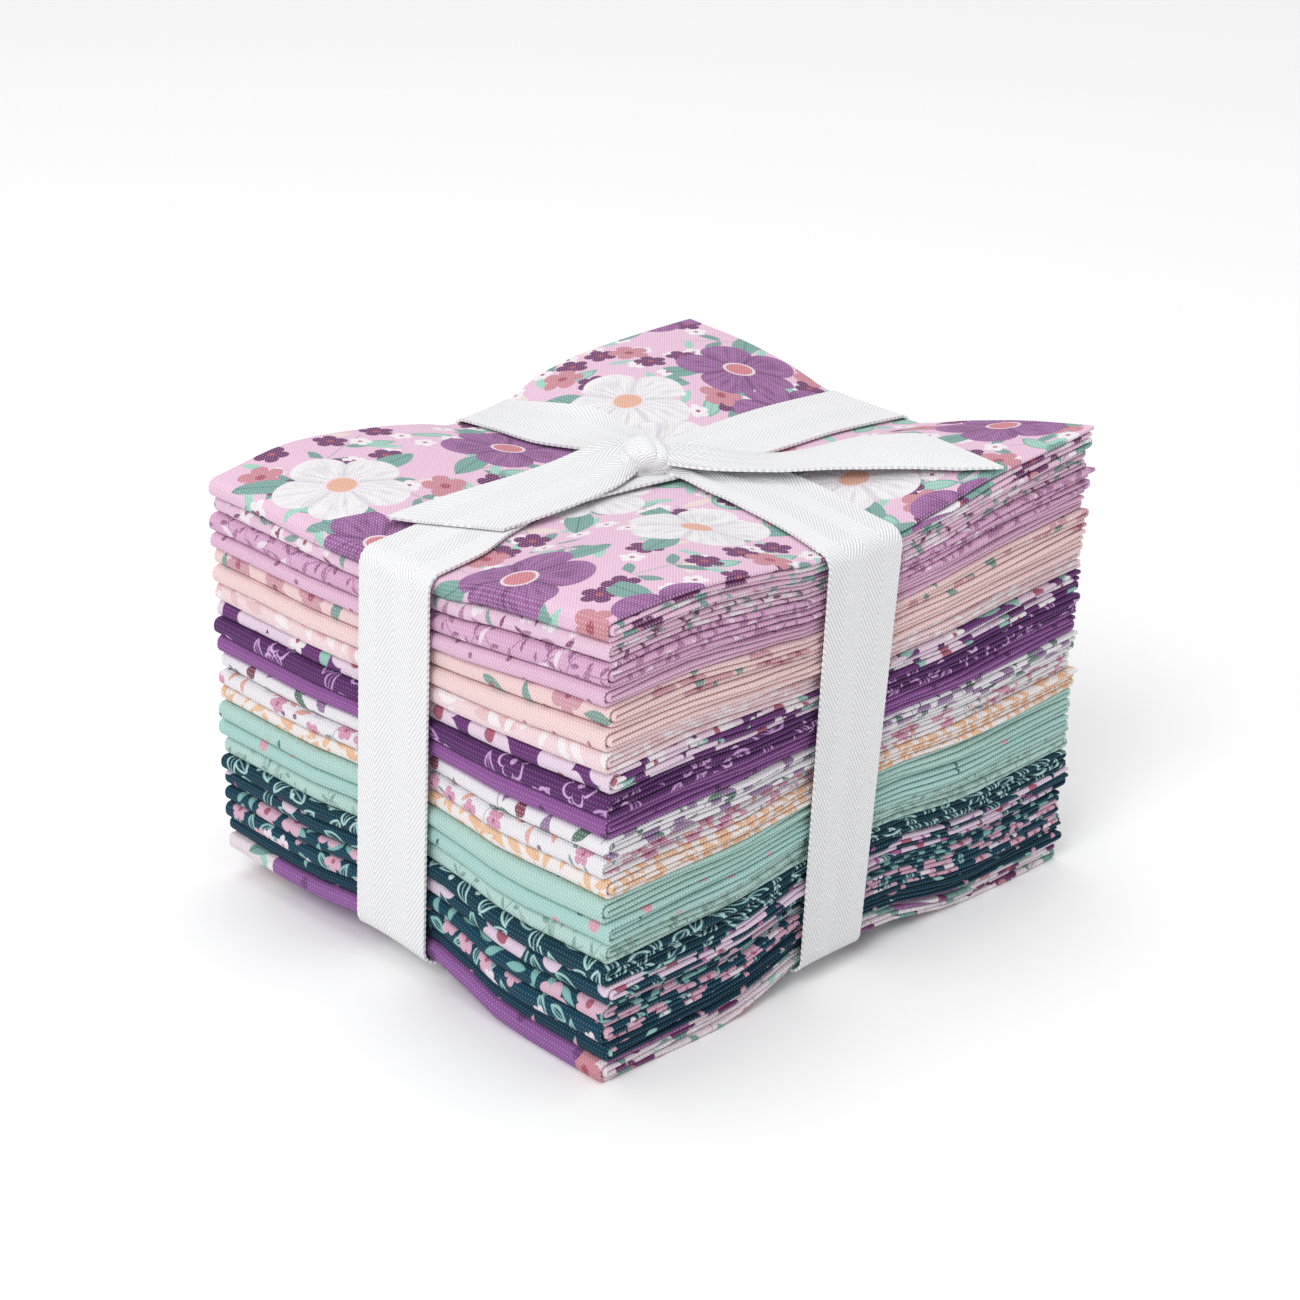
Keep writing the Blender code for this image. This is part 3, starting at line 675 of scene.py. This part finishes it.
def ribbon_loop(half, along_x, route, lift, pleats):
    """One turn of the ribbon round the stack: a closed strip a little off the cloth.

    Every point is a centre of bend plus the bend's radius along the row's normal. Near
    the knot the strip narrows, and its spare width stands up in pleats.
    """
    share, level, angle = (values[:, None] for values in loop_rows(half))
    across = np.linspace(-0.5, 0.5, RIBBON_ACROSS)[None, :]
    sideways = route_values(route, share * half, level, 1) * MM
    width = route_values(route, share * half, level, 2)
    beside = sideways + across * RIBBON_WIDTH * width
    reach = half + STAND_OUT + RIBBON_CLEAR - SQUEEZE * under_ribbon(beside)
    place = share * (reach - RIBBON_BEND)
    x, y = (place, beside) if along_x else (beside, place)
    x, y = np.broadcast_arrays(x, y)
    top = top_height(x, y) + RIBBON_CLEAR - RIBBON_BEND
    under = bottom_height(x, y) - RIBBON_CLEAR + RIBBON_BEND
    centre = under + (top - under) * level
    near_knot = np.exp(-(place / PLEAT_SPREAD) ** 2) * (level == 1.0)
    pleat = pleats * near_knot * (1 + np.cos(2 * math.pi * (across * PLEATS_ACROSS + PLEAT_START)))
    sides = []
    for thickness in (RIBBON_THICKNESS, 0.0):
        radius = RIBBON_BEND + thickness
        far = place + radius * np.cos(angle)
        height = centre + radius * np.sin(angle) + lift * near_knot + pleat
        row = (far, beside, height) if along_x else (beside, far, height)
        sides.append(np.stack(np.broadcast_arrays(*row), axis=-1))
    outer, inner = sides
    middle = outer[:, RIBBON_ACROSS // 2]
    steps = np.linalg.norm(np.diff(middle, axis=0, append=middle[:1]), axis=1)
    length = np.concatenate([[0.0], np.cumsum(steps)[:-1]])
    saw = np.sin(2 * math.pi * length / SELVEDGE_PITCH)[:, None] * SELVEDGE_DEPTH * np.sign(across)
    saw = saw * (np.abs(across) > 0.49)
    for side in sides:
        side[..., 1 if along_x else 0] += saw
    if along_x:
        outer, inner = outer[::-1], inner[::-1]
        length = length[::-1]
    flat_v = np.linspace(-0.5, 0.5, RIBBON_ACROSS) * RIBBON_WIDTH
    return shell(outer, inner, length, flat_v, closed=True), steps.sum()


def ribbon_tail(table, lean):
    """A free end: a strip along an eased path, from the knot to its slanting cut.

    Its height is the cloth's plus the table's rise, shared out from edge to edge. Near
    the knot it is gathered into ridges, and each edge is finely toothed.
    """
    rows = np.array(table) * MM
    steps = np.linalg.norm(np.diff(rows[:, :2], axis=0), axis=1)
    marks = np.concatenate([[0.0], np.cumsum(steps)])
    total = marks[-1]
    across = np.linspace(-1, 1, RIBBON_ACROSS)[None, :]
    along = np.linspace(0, 1, int(total / RIBBON_STEP))[:, None]
    reach = along * (total + lean * across)
    held = np.minimum(reach, total)
    x, y, near, far, half_width = (eased(marks, rows[:, column], held) for column in range(5))
    onward = np.minimum(held + HEADING_SPAN / 2, total)
    ahead_x, ahead_y = (eased(marks, rows[:, column], onward) -
                        eased(marks, rows[:, column], onward - HEADING_SPAN) for column in range(2))
    norm = np.hypot(ahead_x, ahead_y)
    ahead_x, ahead_y = ahead_x / norm, ahead_y / norm
    turn = np.where(ahead_x > 0, 1.0, -1.0)
    beyond = reach - held
    saw = np.sin(2 * math.pi * reach / SELVEDGE_PITCH) * SELVEDGE_DEPTH * np.sign(across)
    offset = half_width * across + saw * (np.abs(across) > 0.99)
    px = x + ahead_x * beyond - ahead_y * turn * offset
    py = y + ahead_y * beyond + ahead_x * turn * offset
    rise = near + (far - near) * (across + 1) / 2
    gather = np.exp(-(reach / RIDGE_SPREAD) ** 2) * RIDGE_HEIGHT
    ridges = gather * (1 + np.cos(2 * math.pi * (across * RIDGES_ACROSS + RIDGE_START)))
    crown = TAIL_CROWN * (1 - across ** 2) * (1 - along)
    height = top_height(px, py) + rise + ridges + crown
    low = np.stack([px, py, height], axis=-1)
    high = low + np.array([0, 0, RIBBON_THICKNESS])
    flat_v = np.broadcast_to(across * RIBBON_WIDTH / 2, reach.shape)
    if turn[0, 0] < 0:
        low, high, reach, flat_v = low[::-1], high[::-1], reach[::-1], flat_v[::-1]
    return shell(high, low, reach, flat_v), total


def ribbon_knot():
    """The knot: a squarish ellipsoid lying towards the front corner, creased like a wrap.

    Its poles are at the front and the back, and its radius swells and sinks with the
    angle round them, most at the front, where the ribbon is cinched. A crease is the size
    of a sine wave to a power under one, slanted by the cosine of the angle from the pole.
    """
    along = np.linspace(KNOT_POLE, math.pi - KNOT_POLE, KNOT_ROWS)[:, None]
    around = np.linspace(0, 2 * math.pi, KNOT_COLUMNS + 1)[None, :-1]
    front = smooth((np.cos(along) + 0.9) / 1.5)
    slanted = around * CREASE_HALVES + CREASE_START + CREASE_SLANT * np.cos(along)
    creases = 1 + CREASE_DEPTH * front * np.abs(np.sin(slanted)) ** CREASE_SHARPNESS
    creases += SWELL_DEPTH * np.cos(around * SWELLS + SWELL_START)
    power = KNOT_SQUARENESS
    squared = 1 / (np.abs(np.sin(along)) ** power + np.abs(np.cos(along)) ** power) ** (1 / power)
    radius = squared * creases
    local_x = KNOT_HALF[0] * radius * np.sin(along) * np.cos(around)
    local_y = -KNOT_HALF[1] * squared * np.cos(along) * np.ones_like(around)
    local_z = KNOT_HALF[2] * radius * np.sin(along) * np.sin(around)
    x = KNOT_CENTRE[0] + local_x * math.cos(KNOT_TURN) - local_y * math.sin(KNOT_TURN)
    y = KNOT_CENTRE[1] + local_x * math.sin(KNOT_TURN) + local_y * math.cos(KNOT_TURN)
    base = top_height(KNOT_CENTRE[:1], KNOT_CENTRE[1:])[0]
    z = base + KNOT_RISE + local_z - KNOT_DIP * np.cos(along)
    grid = np.stack([x, y, z], axis=-1)
    rows, columns = grid.shape[:2]
    number = np.arange(rows * columns).reshape(rows, columns)
    wrapped = np.concatenate([number, number[:, :1]], axis=1)
    quads = np.stack([wrapped[:-1, :-1], wrapped[1:, :-1], wrapped[1:, 1:], wrapped[:-1, 1:]], axis=-1)
    points = grid.reshape(-1, 3)
    caps = np.array([points[:columns].mean(axis=0), points[-columns:].mean(axis=0)])
    first = np.stack([wrapped[0, :-1], wrapped[0, 1:], np.full(columns, len(points))], axis=1)
    last = np.stack([wrapped[-1, 1:], wrapped[-1, :-1], np.full(columns, len(points) + 1)], axis=1)
    flat = np.broadcast_arrays(around * KNOT_HALF[0], along * KNOT_HALF[1])
    flat = np.stack(flat, axis=-1).reshape(-1, 2)
    return {"points": np.concatenate([points, caps]), "quads": quads.reshape(-1, 4),
            "tips": np.concatenate([first, last]), "flat": np.concatenate([flat, [[0, 0], [0, 0]]]),
            "reverse": np.zeros(len(points) + 2)}


def ribbon_tie(material):
    """The whole ribbon as one piece: two loops, the two free ends and the knot."""
    loop_x, length_x = ribbon_loop(STACK_WIDTH / 2, True, LOOP_ALONG_X, LIFT_ALONG_X, PLEAT_ALONG_X)
    loop_y, length_y = ribbon_loop(STACK_DEPTH / 2, False, LOOP_ALONG_Y, LIFT_ALONG_Y, PLEAT_ALONG_Y)
    left, length_left = ribbon_tail(TAIL_LEFT, TAIL_LEFT_LEAN)
    right, length_right = ribbon_tail(TAIL_RIGHT, TAIL_RIGHT_LEAN)
    piece = add_piece("ribbon_tie_twill", [loop_x, loop_y, left, right, ribbon_knot()], material)
    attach(piece, "root")
    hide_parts("ribbon_tie")
    return piece


def node(tree, kind, inputs=(), **settings):
    """Add a node: its settings, then its inputs in order or by name, as values or links."""
    made = tree.nodes.new("ShaderNode" + kind)
    for name, value in settings.items():
        setattr(made, name, value)
    shown = [socket for socket in made.inputs if socket.enabled]
    for place, value in inputs.items() if isinstance(inputs, dict) else enumerate(inputs):
        socket = made.inputs[place] if isinstance(place, str) else shown[place]
        if isinstance(value, bpy.types.Node):
            value = next(output for output in value.outputs if output.enabled)
        if isinstance(value, bpy.types.NodeSocket):
            tree.links.new(value, socket)
        else:
            socket.default_value = value
    return made


def tossed(tree, cloth, spacing, seed):
    """A tossed layout: one place to each cell of an uneven grid, turned at random.

    Returns the place inside the cell in millimetres, and three random shares.
    """
    scale = 1 / (spacing * MM)
    tiled = node(tree, "VectorMath", [cloth, (scale, scale, 0), (seed * 0.37, seed * 0.71, 0)],
                 operation="MULTIPLY_ADD")
    cells = node(tree, "TexVoronoi", {"Vector": tiled, "Scale": 1.0, "Randomness": 0.62},
                 voronoi_dimensions="2D")
    away = node(tree, "VectorMath", [tiled, cells.outputs["Position"]], operation="SUBTRACT")
    chance = node(tree, "SeparateColor", [cells.outputs["Color"]])
    turn = node(tree, "Math", [chance.outputs["Red"], 2 * math.pi], operation="MULTIPLY")
    turned = node(tree, "VectorRotate", {"Vector": away, "Angle": turn}, rotation_type="Z_AXIS")
    return node(tree, "VectorMath", [turned, spacing], operation="SCALE"), chance


def printed_edge(tree, rim, value):
    """Ink where a value is inside its rim, with an edge a quarter of a millimetre soft."""
    depth = node(tree, "Math", [rim, value], operation="SUBTRACT")
    return node(tree, "Math", [depth, 4.0], operation="MULTIPLY", use_clamp=True)


def blossom(tree, place, size, petals, notch):
    """A flower: its rim is full at each petal's middle and notched between two petals.

    Returns its ink, the distance from its heart, and a share that is 1 along petals.
    """
    parts = node(tree, "SeparateXYZ", [place])
    angle = node(tree, "Math", [parts.outputs["Y"], parts.outputs["X"]], operation="ARCTAN2")
    radius = node(tree, "VectorMath", [place], operation="LENGTH")
    half = node(tree, "Math", [angle, petals / 2], operation="MULTIPLY")
    wave = node(tree, "Math", [half], operation="COSINE")
    lobe = node(tree, "Math", [wave], operation="ABSOLUTE")
    full = node(tree, "Math", [lobe, PETAL_ROUNDNESS], operation="POWER")
    rim = node(tree, "Math", [full, size * notch, size * (1 - notch)], operation="MULTIPLY_ADD")
    return printed_edge(tree, rim, radius), radius, lobe


def leaf(tree, place, middle, length, width):
    """A pointed oval along X: its half width falls off with the square of the place."""
    moved = node(tree, "VectorMath", [place, (middle, 0, 0)], operation="SUBTRACT")
    parts = node(tree, "SeparateXYZ", [moved])
    share = node(tree, "Math", [parts.outputs["X"], 2 / length], operation="MULTIPLY")
    curve = node(tree, "Math", [share, share], operation="MULTIPLY")
    rim = node(tree, "Math", [curve, -width, width], operation="MULTIPLY_ADD")
    side = node(tree, "Math", [parts.outputs["Y"]], operation="ABSOLUTE")
    return printed_edge(tree, rim, side), side


def sprig(tree, place, size):
    """A stem along X with slanting pairs of leaves at even steps, as long as twice size."""
    parts = node(tree, "SeparateXYZ", [place])
    side = node(tree, "Math", [parts.outputs["Y"]], operation="ABSOLUTE")
    along = node(tree, "Math", [parts.outputs["X"]], operation="ABSOLUTE")
    lean = node(tree, "Math", [side, SPRIG_SLANT, parts.outputs["X"]], operation="MULTIPLY_ADD")
    step = size * SPRIG_STEP
    cell = node(tree, "Math", [lean, step, -step], operation="WRAP")
    shifted = node(tree, "Math", [cell], operation="ABSOLUTE")
    reach = size * SPRIG_REACH
    share = node(tree, "Math", [side, 2 / reach, -1.0], operation="MULTIPLY_ADD")
    curve = node(tree, "Math", [share, share], operation="MULTIPLY")
    rim = node(tree, "Math", [curve, -size * SPRIG_LEAF, size * SPRIG_LEAF], operation="MULTIPLY_ADD")
    leaves = printed_edge(tree, rim, shifted)
    stem = printed_edge(tree, SPRIG_STEM, side)
    both = node(tree, "Math", [leaves, stem], operation="MAXIMUM")
    ends = printed_edge(tree, size, along)
    return node(tree, "Math", [both, ends], operation="MULTIPLY")


def motif(tree, cloth, kind, spacing, size, share, seed):
    """Ink of one small motif over the whole cloth, held by a share of its places."""
    place, chance = tossed(tree, cloth, spacing, seed)
    heart = None
    if kind == "blossom":
        ink, radius, _ = blossom(tree, place, size, PETALS, BLOSSOM_NOTCH)
        heart = printed_edge(tree, size * BLOSSOM_HEART, radius)
    elif kind == "outline":
        whole, radius, _ = blossom(tree, place, size, PETALS, BLOSSOM_NOTCH)
        inside, _, _ = blossom(tree, place, size - PEN_WIDTH, PETALS, BLOSSOM_NOTCH)
        ring = node(tree, "Math", [whole, inside], operation="SUBTRACT", use_clamp=True)
        middle = printed_edge(tree, size * OUTLINE_HEART, radius)
        ink = node(tree, "Math", [ring, middle], operation="MAXIMUM")
    elif kind in ("leaf", "tick"):
        ink, _ = leaf(tree, place, 0.0, size * 2, size * LEAF_HALF_WIDTHS[kind])
    elif kind == "veined":
        half_width = size * LEAF_HALF_WIDTHS[kind]
        whole, side = leaf(tree, place, 0.0, size * 2, half_width)
        inside, _ = leaf(tree, place, 0.0, size * 2 - VEINED_SHORTER, half_width - VEINED_NARROWER)
        rim = node(tree, "Math", [whole, inside], operation="SUBTRACT", use_clamp=True)
        line = printed_edge(tree, VEIN_HALF_WIDTH, side)
        vein = node(tree, "Math", [line, inside], operation="MULTIPLY")
        ink = node(tree, "Math", [rim, vein], operation="MAXIMUM")
    elif kind == "sprig":
        ink = sprig(tree, place, size)
    else:
        ink = printed_edge(tree, size, node(tree, "VectorMath", [place], operation="LENGTH"))
    held = node(tree, "Math", [chance.outputs["Green"], share], operation="LESS_THAN")
    return node(tree, "Math", [ink, held], operation="MULTIPLY"), heart


def large_flowers(tree, cloth, colour):
    """The top cut's print: big white and purple flowers among leaves and small blossoms.

    A petal's streaks are noise stretched along the radius, stronger towards the heart.
    """
    for kind, spacing, size, ink_colour, share, seed in TOP_PRINT:
        ink, heart = motif(tree, cloth, kind, spacing, size, share, seed)
        if kind == "veined":
            body, _ = motif(tree, cloth, "leaf", spacing, size, share, seed)
            colour = node(tree, "Mix", [body, colour, linear(VEINED_BODY)], data_type="RGBA")
        colour = node(tree, "Mix", [ink, colour, linear(ink_colour)], data_type="RGBA")
        if heart:
            both = node(tree, "Math", [heart, ink], operation="MULTIPLY")
            colour = node(tree, "Mix", [both, colour, linear(TOP_BLOSSOM_HEART)], data_type="RGBA")
    place, chance = tossed(tree, cloth, BLOOM_SPACING, BLOOM_SEED)
    parts = node(tree, "SeparateXYZ", [place])
    around = node(tree, "Math", [parts.outputs["Y"], parts.outputs["X"]], operation="ARCTAN2")
    third = math.pi / 3
    folded = node(tree, "Math", [around, third, -third], operation="WRAP")
    radius = node(tree, "VectorMath", [place], operation="LENGTH")
    turned_x = node(tree, "Math", [node(tree, "Math", [folded], operation="COSINE"), radius],
                    operation="MULTIPLY")
    turned_y = node(tree, "Math", [node(tree, "Math", [folded], operation="SINE"), radius],
                    operation="MULTIPLY")
    fan = node(tree, "CombineXYZ", [turned_x, turned_y])
    leaves, side = leaf(tree, fan, BLOOM_LEAF_MIDDLE, BLOOM_LEAF_LENGTH, BLOOM_LEAF_HALF_WIDTH)
    vein = printed_edge(tree, BLOOM_VEIN_HALF_WIDTH, side)
    green = node(tree, "Mix", [vein, linear(BLOOM_LEAF), linear(BLOOM_VEIN)], data_type="RGBA")
    colour = node(tree, "Mix", [leaves, colour, green], data_type="RGBA")
    whole, radius, lobe = blossom(tree, place, BLOOM_SIZE, PETALS, BLOOM_NOTCH)
    white = node(tree, "Math", [chance.outputs["Blue"], 0.5], operation="GREATER_THAN")
    petal, shade, heart = (node(tree, "Mix", [white, linear(purple), linear(pale)], data_type="RGBA")
                           for purple, pale in zip(BLOOM_PURPLE, BLOOM_WHITE))
    rays = node(tree, "CombineXYZ", [node(tree, "Math", [around, 5.0], operation="MULTIPLY"),
                                     node(tree, "Math", [radius, 0.11], operation="MULTIPLY")])
    noise = node(tree, "TexNoise", {"Vector": rays, "Scale": 1.6, "Detail": 2.0, "Roughness": 0.6})
    streaks = node(tree, "MapRange", [noise, 0.44, 0.66, 0.0, 1.0])
    depth = node(tree, "MapRange", [radius, 2.0, BLOOM_SIZE, 0.95, 0.35])
    crease = node(tree, "MapRange", [lobe, 0.10, 0.34, 1.0, 0.0])
    shaded = node(tree, "Math", [node(tree, "Math", [streaks, crease], operation="MAXIMUM"), depth],
                  operation="MULTIPLY")
    petal = node(tree, "Mix", [shaded, petal, shade], data_type="RGBA")
    colour = node(tree, "Mix", [whole, colour, petal], data_type="RGBA")
    ring = printed_edge(tree, BLOOM_RING_SIZE, radius)
    colour = node(tree, "Mix", [ring, colour, linear(BLOOM_RING)], data_type="RGBA")
    middle = printed_edge(tree, BLOOM_HEART_SIZE, radius)
    return node(tree, "Mix", [middle, colour, heart], data_type="RGBA")


def printed(tree, cloth, name, ground):
    """The colour of a cut: its ground, then each of its motifs in turn."""
    colour = node(tree, "RGB")
    colour.outputs[0].default_value = linear(ground)
    if name == "lilac_pink_large_flowers":
        colour = large_flowers(tree, cloth, colour)
    if name == "orchid_purple_border":
        parts = node(tree, "SeparateXYZ", [cloth])
        off_middle = node(tree, "Math", [node(tree, "Math", [parts.outputs["Y"], BORDER_MIDDLE],
                                              operation="SUBTRACT")], operation="ABSOLUTE")
        border = node(tree, "Math", [off_middle, BORDER_FROM], operation="GREATER_THAN")
        pale = node(tree, "RGB")
        pale.outputs[0].default_value = linear(BORDER_GROUND)
        flowers = large_flowers(tree, cloth, pale)
        colour = node(tree, "Mix", [border, colour, flowers], data_type="RGBA")
    rows = [row[1:] for row in PRINTS if row[0] == name]
    for seed, (kind, spacing, size, ink_colour, share) in enumerate(rows, start=len(name)):
        ink, heart = motif(tree, cloth, kind, spacing, size, share, seed)
        colour = node(tree, "Mix", [ink, colour, linear(ink_colour)], data_type="RGBA")
        if heart:
            both = node(tree, "Math", [heart, ink], operation="MULTIPLY")
            colour = node(tree, "Mix", [both, colour, linear(SMALL_BLOSSOM_HEART)], data_type="RGBA")
    return colour


def quilting_cotton(name, ground):
    """Plain-woven cotton, screen printed: matt, with a little nap, paler on the reverse.

    Its weave repeats every two threads. The height is the product of a sine wave along
    the warp and one along the weft, plus three tenths of their sum. The colour is darkened
    in the hollows as painted shade, and it is paled towards white on the crests, partly as
    pale fibre and partly as painted highlight, more so on a light cloth.
    """
    material = bpy.data.materials.new(f"quilting_cotton_{name}")
    material.use_nodes = True
    tree = material.node_tree
    shader = tree.nodes["Principled BSDF"]
    flat = node(tree, "UVMap", uv_map="cut")
    parts = node(tree, "SeparateXYZ", [flat])
    turns = 2 * math.pi / (WEAVE_REPEAT_MM * MM)
    warp, weft = (node(tree, "Math", [node(tree, "Math", [parts.outputs[axis], turns],
                                           operation="MULTIPLY")], operation="SINE") for axis in "XY")
    crossed = node(tree, "Math", [warp, weft], operation="MULTIPLY")
    both = node(tree, "Math", [warp, weft], operation="ADD")
    weave = node(tree, "Math", [both, 0.3, crossed], operation="MULTIPLY_ADD")
    colour = printed(tree, flat, name, ground)
    # Darker in the hollows of the weave: painted shade
    deep = node(tree, "MapRange", [weave, -1.0, 0.4, 0.74, 1.0])
    colour = node(tree, "VectorMath", {"Vector": colour, "Scale": deep}, operation="SCALE")
    lightness = sum(linear(ground)[:3]) / 3
    # Paler on the crests of the weave: partly pale fibre, partly painted highlight, more on a light
    # cloth
    pale = node(tree, "MapRange", [weave, 0.1, 1.2, 0.0, 0.07 + 0.33 * lightness])
    colour = node(tree, "Mix", [pale, colour, linear("FFFFFF")], data_type="RGBA")
    mark = node(tree, "Attribute", attribute_name="reverse")
    through = node(tree, "Math", [mark.outputs["Fac"], 0.45], operation="MULTIPLY")
    colour = node(tree, "Mix", [through, colour, linear("F3EEF1")], data_type="RGBA")
    tree.links.new(colour.outputs[2], shader.inputs["Base Color"])
    relief = node(tree, "Bump", {"Height": weave, "Strength": 0.8, "Distance": 0.00010})
    tree.links.new(relief.outputs[0], shader.inputs["Normal"])
    shader.inputs["Roughness"].default_value = 0.90
    shader.inputs["Specular IOR Level"].default_value = 0.22
    shader.inputs["Sheen Weight"].default_value = 0.03
    shader.inputs["Sheen Roughness"].default_value = 0.5
    return material


def twill_tape():
    """White cotton twill tape, woven in a herringbone: matt, with fine slanting ribs.

    The ribs turn at every quarter of the width. They are drawn 0.7 mm apart, coarser than
    the real ones, which would not show. The grooves between them are painted darker, as
    painted shade.
    """
    material = bpy.data.materials.new("cotton_twill_tape_white")
    material.use_nodes = True
    tree = material.node_tree
    shader = tree.nodes["Principled BSDF"]
    flat = node(tree, "UVMap", uv_map="cut")
    parts = node(tree, "SeparateXYZ", [flat])
    side = node(tree, "Math", [parts.outputs["Y"], RIBBON_WIDTH], operation="ADD")
    zigzag = node(tree, "Math", [side, RIBBON_WIDTH / 4], operation="PINGPONG")
    slant = node(tree, "Math", [zigzag, TWILL_SLANT, parts.outputs["X"]], operation="MULTIPLY_ADD")
    rib = node(tree, "Math", [node(tree, "Math", [slant, 2 * math.pi / (TWILL_PITCH_MM * MM)],
                                   operation="MULTIPLY")], operation="SINE")
    # The grooves between the ribs are painted darker: painted shade
    groove_shade = node(tree, "MapRange", [rib, 0.3, -1.0, 0.0, 0.42])
    colour = node(tree, "Mix", [groove_shade, linear("FAFAFB"), linear("A9ABB4")], data_type="RGBA")
    tree.links.new(colour.outputs[2], shader.inputs["Base Color"])
    relief = node(tree, "Bump", {"Height": rib, "Strength": 0.8, "Distance": 0.00012})
    tree.links.new(relief.outputs[0], shader.inputs["Normal"])
    shader.inputs["Roughness"].default_value = 0.82
    shader.inputs["Sheen Weight"].default_value = 0.15
    shader.inputs["Sheen Roughness"].default_value = 0.5
    return material


def studio():
    """A plain white floor, a white surround, a soft light on the left and one overhead."""
    floor = bpy.data.meshes.new("floor")
    size = FLOOR_REACH
    floor.from_pydata([(-size, -size, 0), (size, -size, 0), (size, size, 0), (-size, size, 0)], [],
                      [(0, 1, 2, 3)])
    paper = bpy.data.materials.new("backdrop_paper_white")
    paper.use_nodes = True
    paper.node_tree.nodes["Principled BSDF"].inputs["Base Color"].default_value = linear("FBFBFB")
    paper.node_tree.nodes["Principled BSDF"].inputs["Roughness"].default_value = 0.9
    floor.materials.append(paper)
    ground = bpy.data.objects.new("floor", floor)
    bpy.context.scene.collection.objects.link(ground)

    world = bpy.data.worlds.new("surround")
    bpy.context.scene.world = world
    world.use_nodes = True
    world.node_tree.nodes["Background"].inputs["Color"].default_value = (1, 1, 1, 1)
    world.node_tree.nodes["Background"].inputs["Strength"].default_value = SURROUND_STRENGTH

    for name, place, size, power in LIGHTS:
        lamp = bpy.data.lights.new(name, "AREA")
        lamp.shape = "DISK"
        lamp.size = size
        lamp.energy = power
        holder = bpy.data.objects.new(name, lamp)
        holder.location = place
        aim = mathutils.Vector(LIGHT_AIM) - holder.location
        holder.rotation_euler = aim.to_track_quat("-Z", "Y").to_euler()
        bpy.context.scene.collection.objects.link(holder)


def photo_camera():
    """The camera where the photograph was taken from, rolled a little clockwise."""
    azimuth, elevation, roll = (math.radians(angle) for angle in (CAMERA_AZIMUTH, CAMERA_ELEVATION,
                                                                  CAMERA_ROLL))
    back = mathutils.Vector((math.sin(azimuth) * math.cos(elevation),
                             -math.cos(azimuth) * math.cos(elevation), math.sin(elevation)))
    right = mathutils.Vector((math.cos(azimuth), math.sin(azimuth), 0))
    up = back.cross(right)
    side = right * math.cos(roll) + up * math.sin(roll)
    top = up * math.cos(roll) - right * math.sin(roll)
    lens = bpy.data.cameras.new("photo_camera")
    lens.sensor_width = CAMERA_SENSOR_MM
    lens.lens = CAMERA_SENSOR_MM * CAMERA_FOCAL_PIXELS / CAMERA_IMAGE_PIXELS
    camera = bpy.data.objects.new("photo_camera", lens)
    turned = mathutils.Matrix((side, top, back)).transposed().to_4x4()
    camera.matrix_world = mathutils.Matrix.Translation(CAMERA_PLACE) @ turned
    bpy.context.scene.collection.objects.link(camera)
    bpy.context.scene.camera = camera


photo_camera()
studio()
for number, (cloth, ground, *shape) in enumerate(CUTS, start=1):
    folded_cut(number, cloth, *shape, quilting_cotton(cloth, ground))
ribbon_tie(twill_tape())

bpy.context.scene.view_settings.view_transform = "Standard"
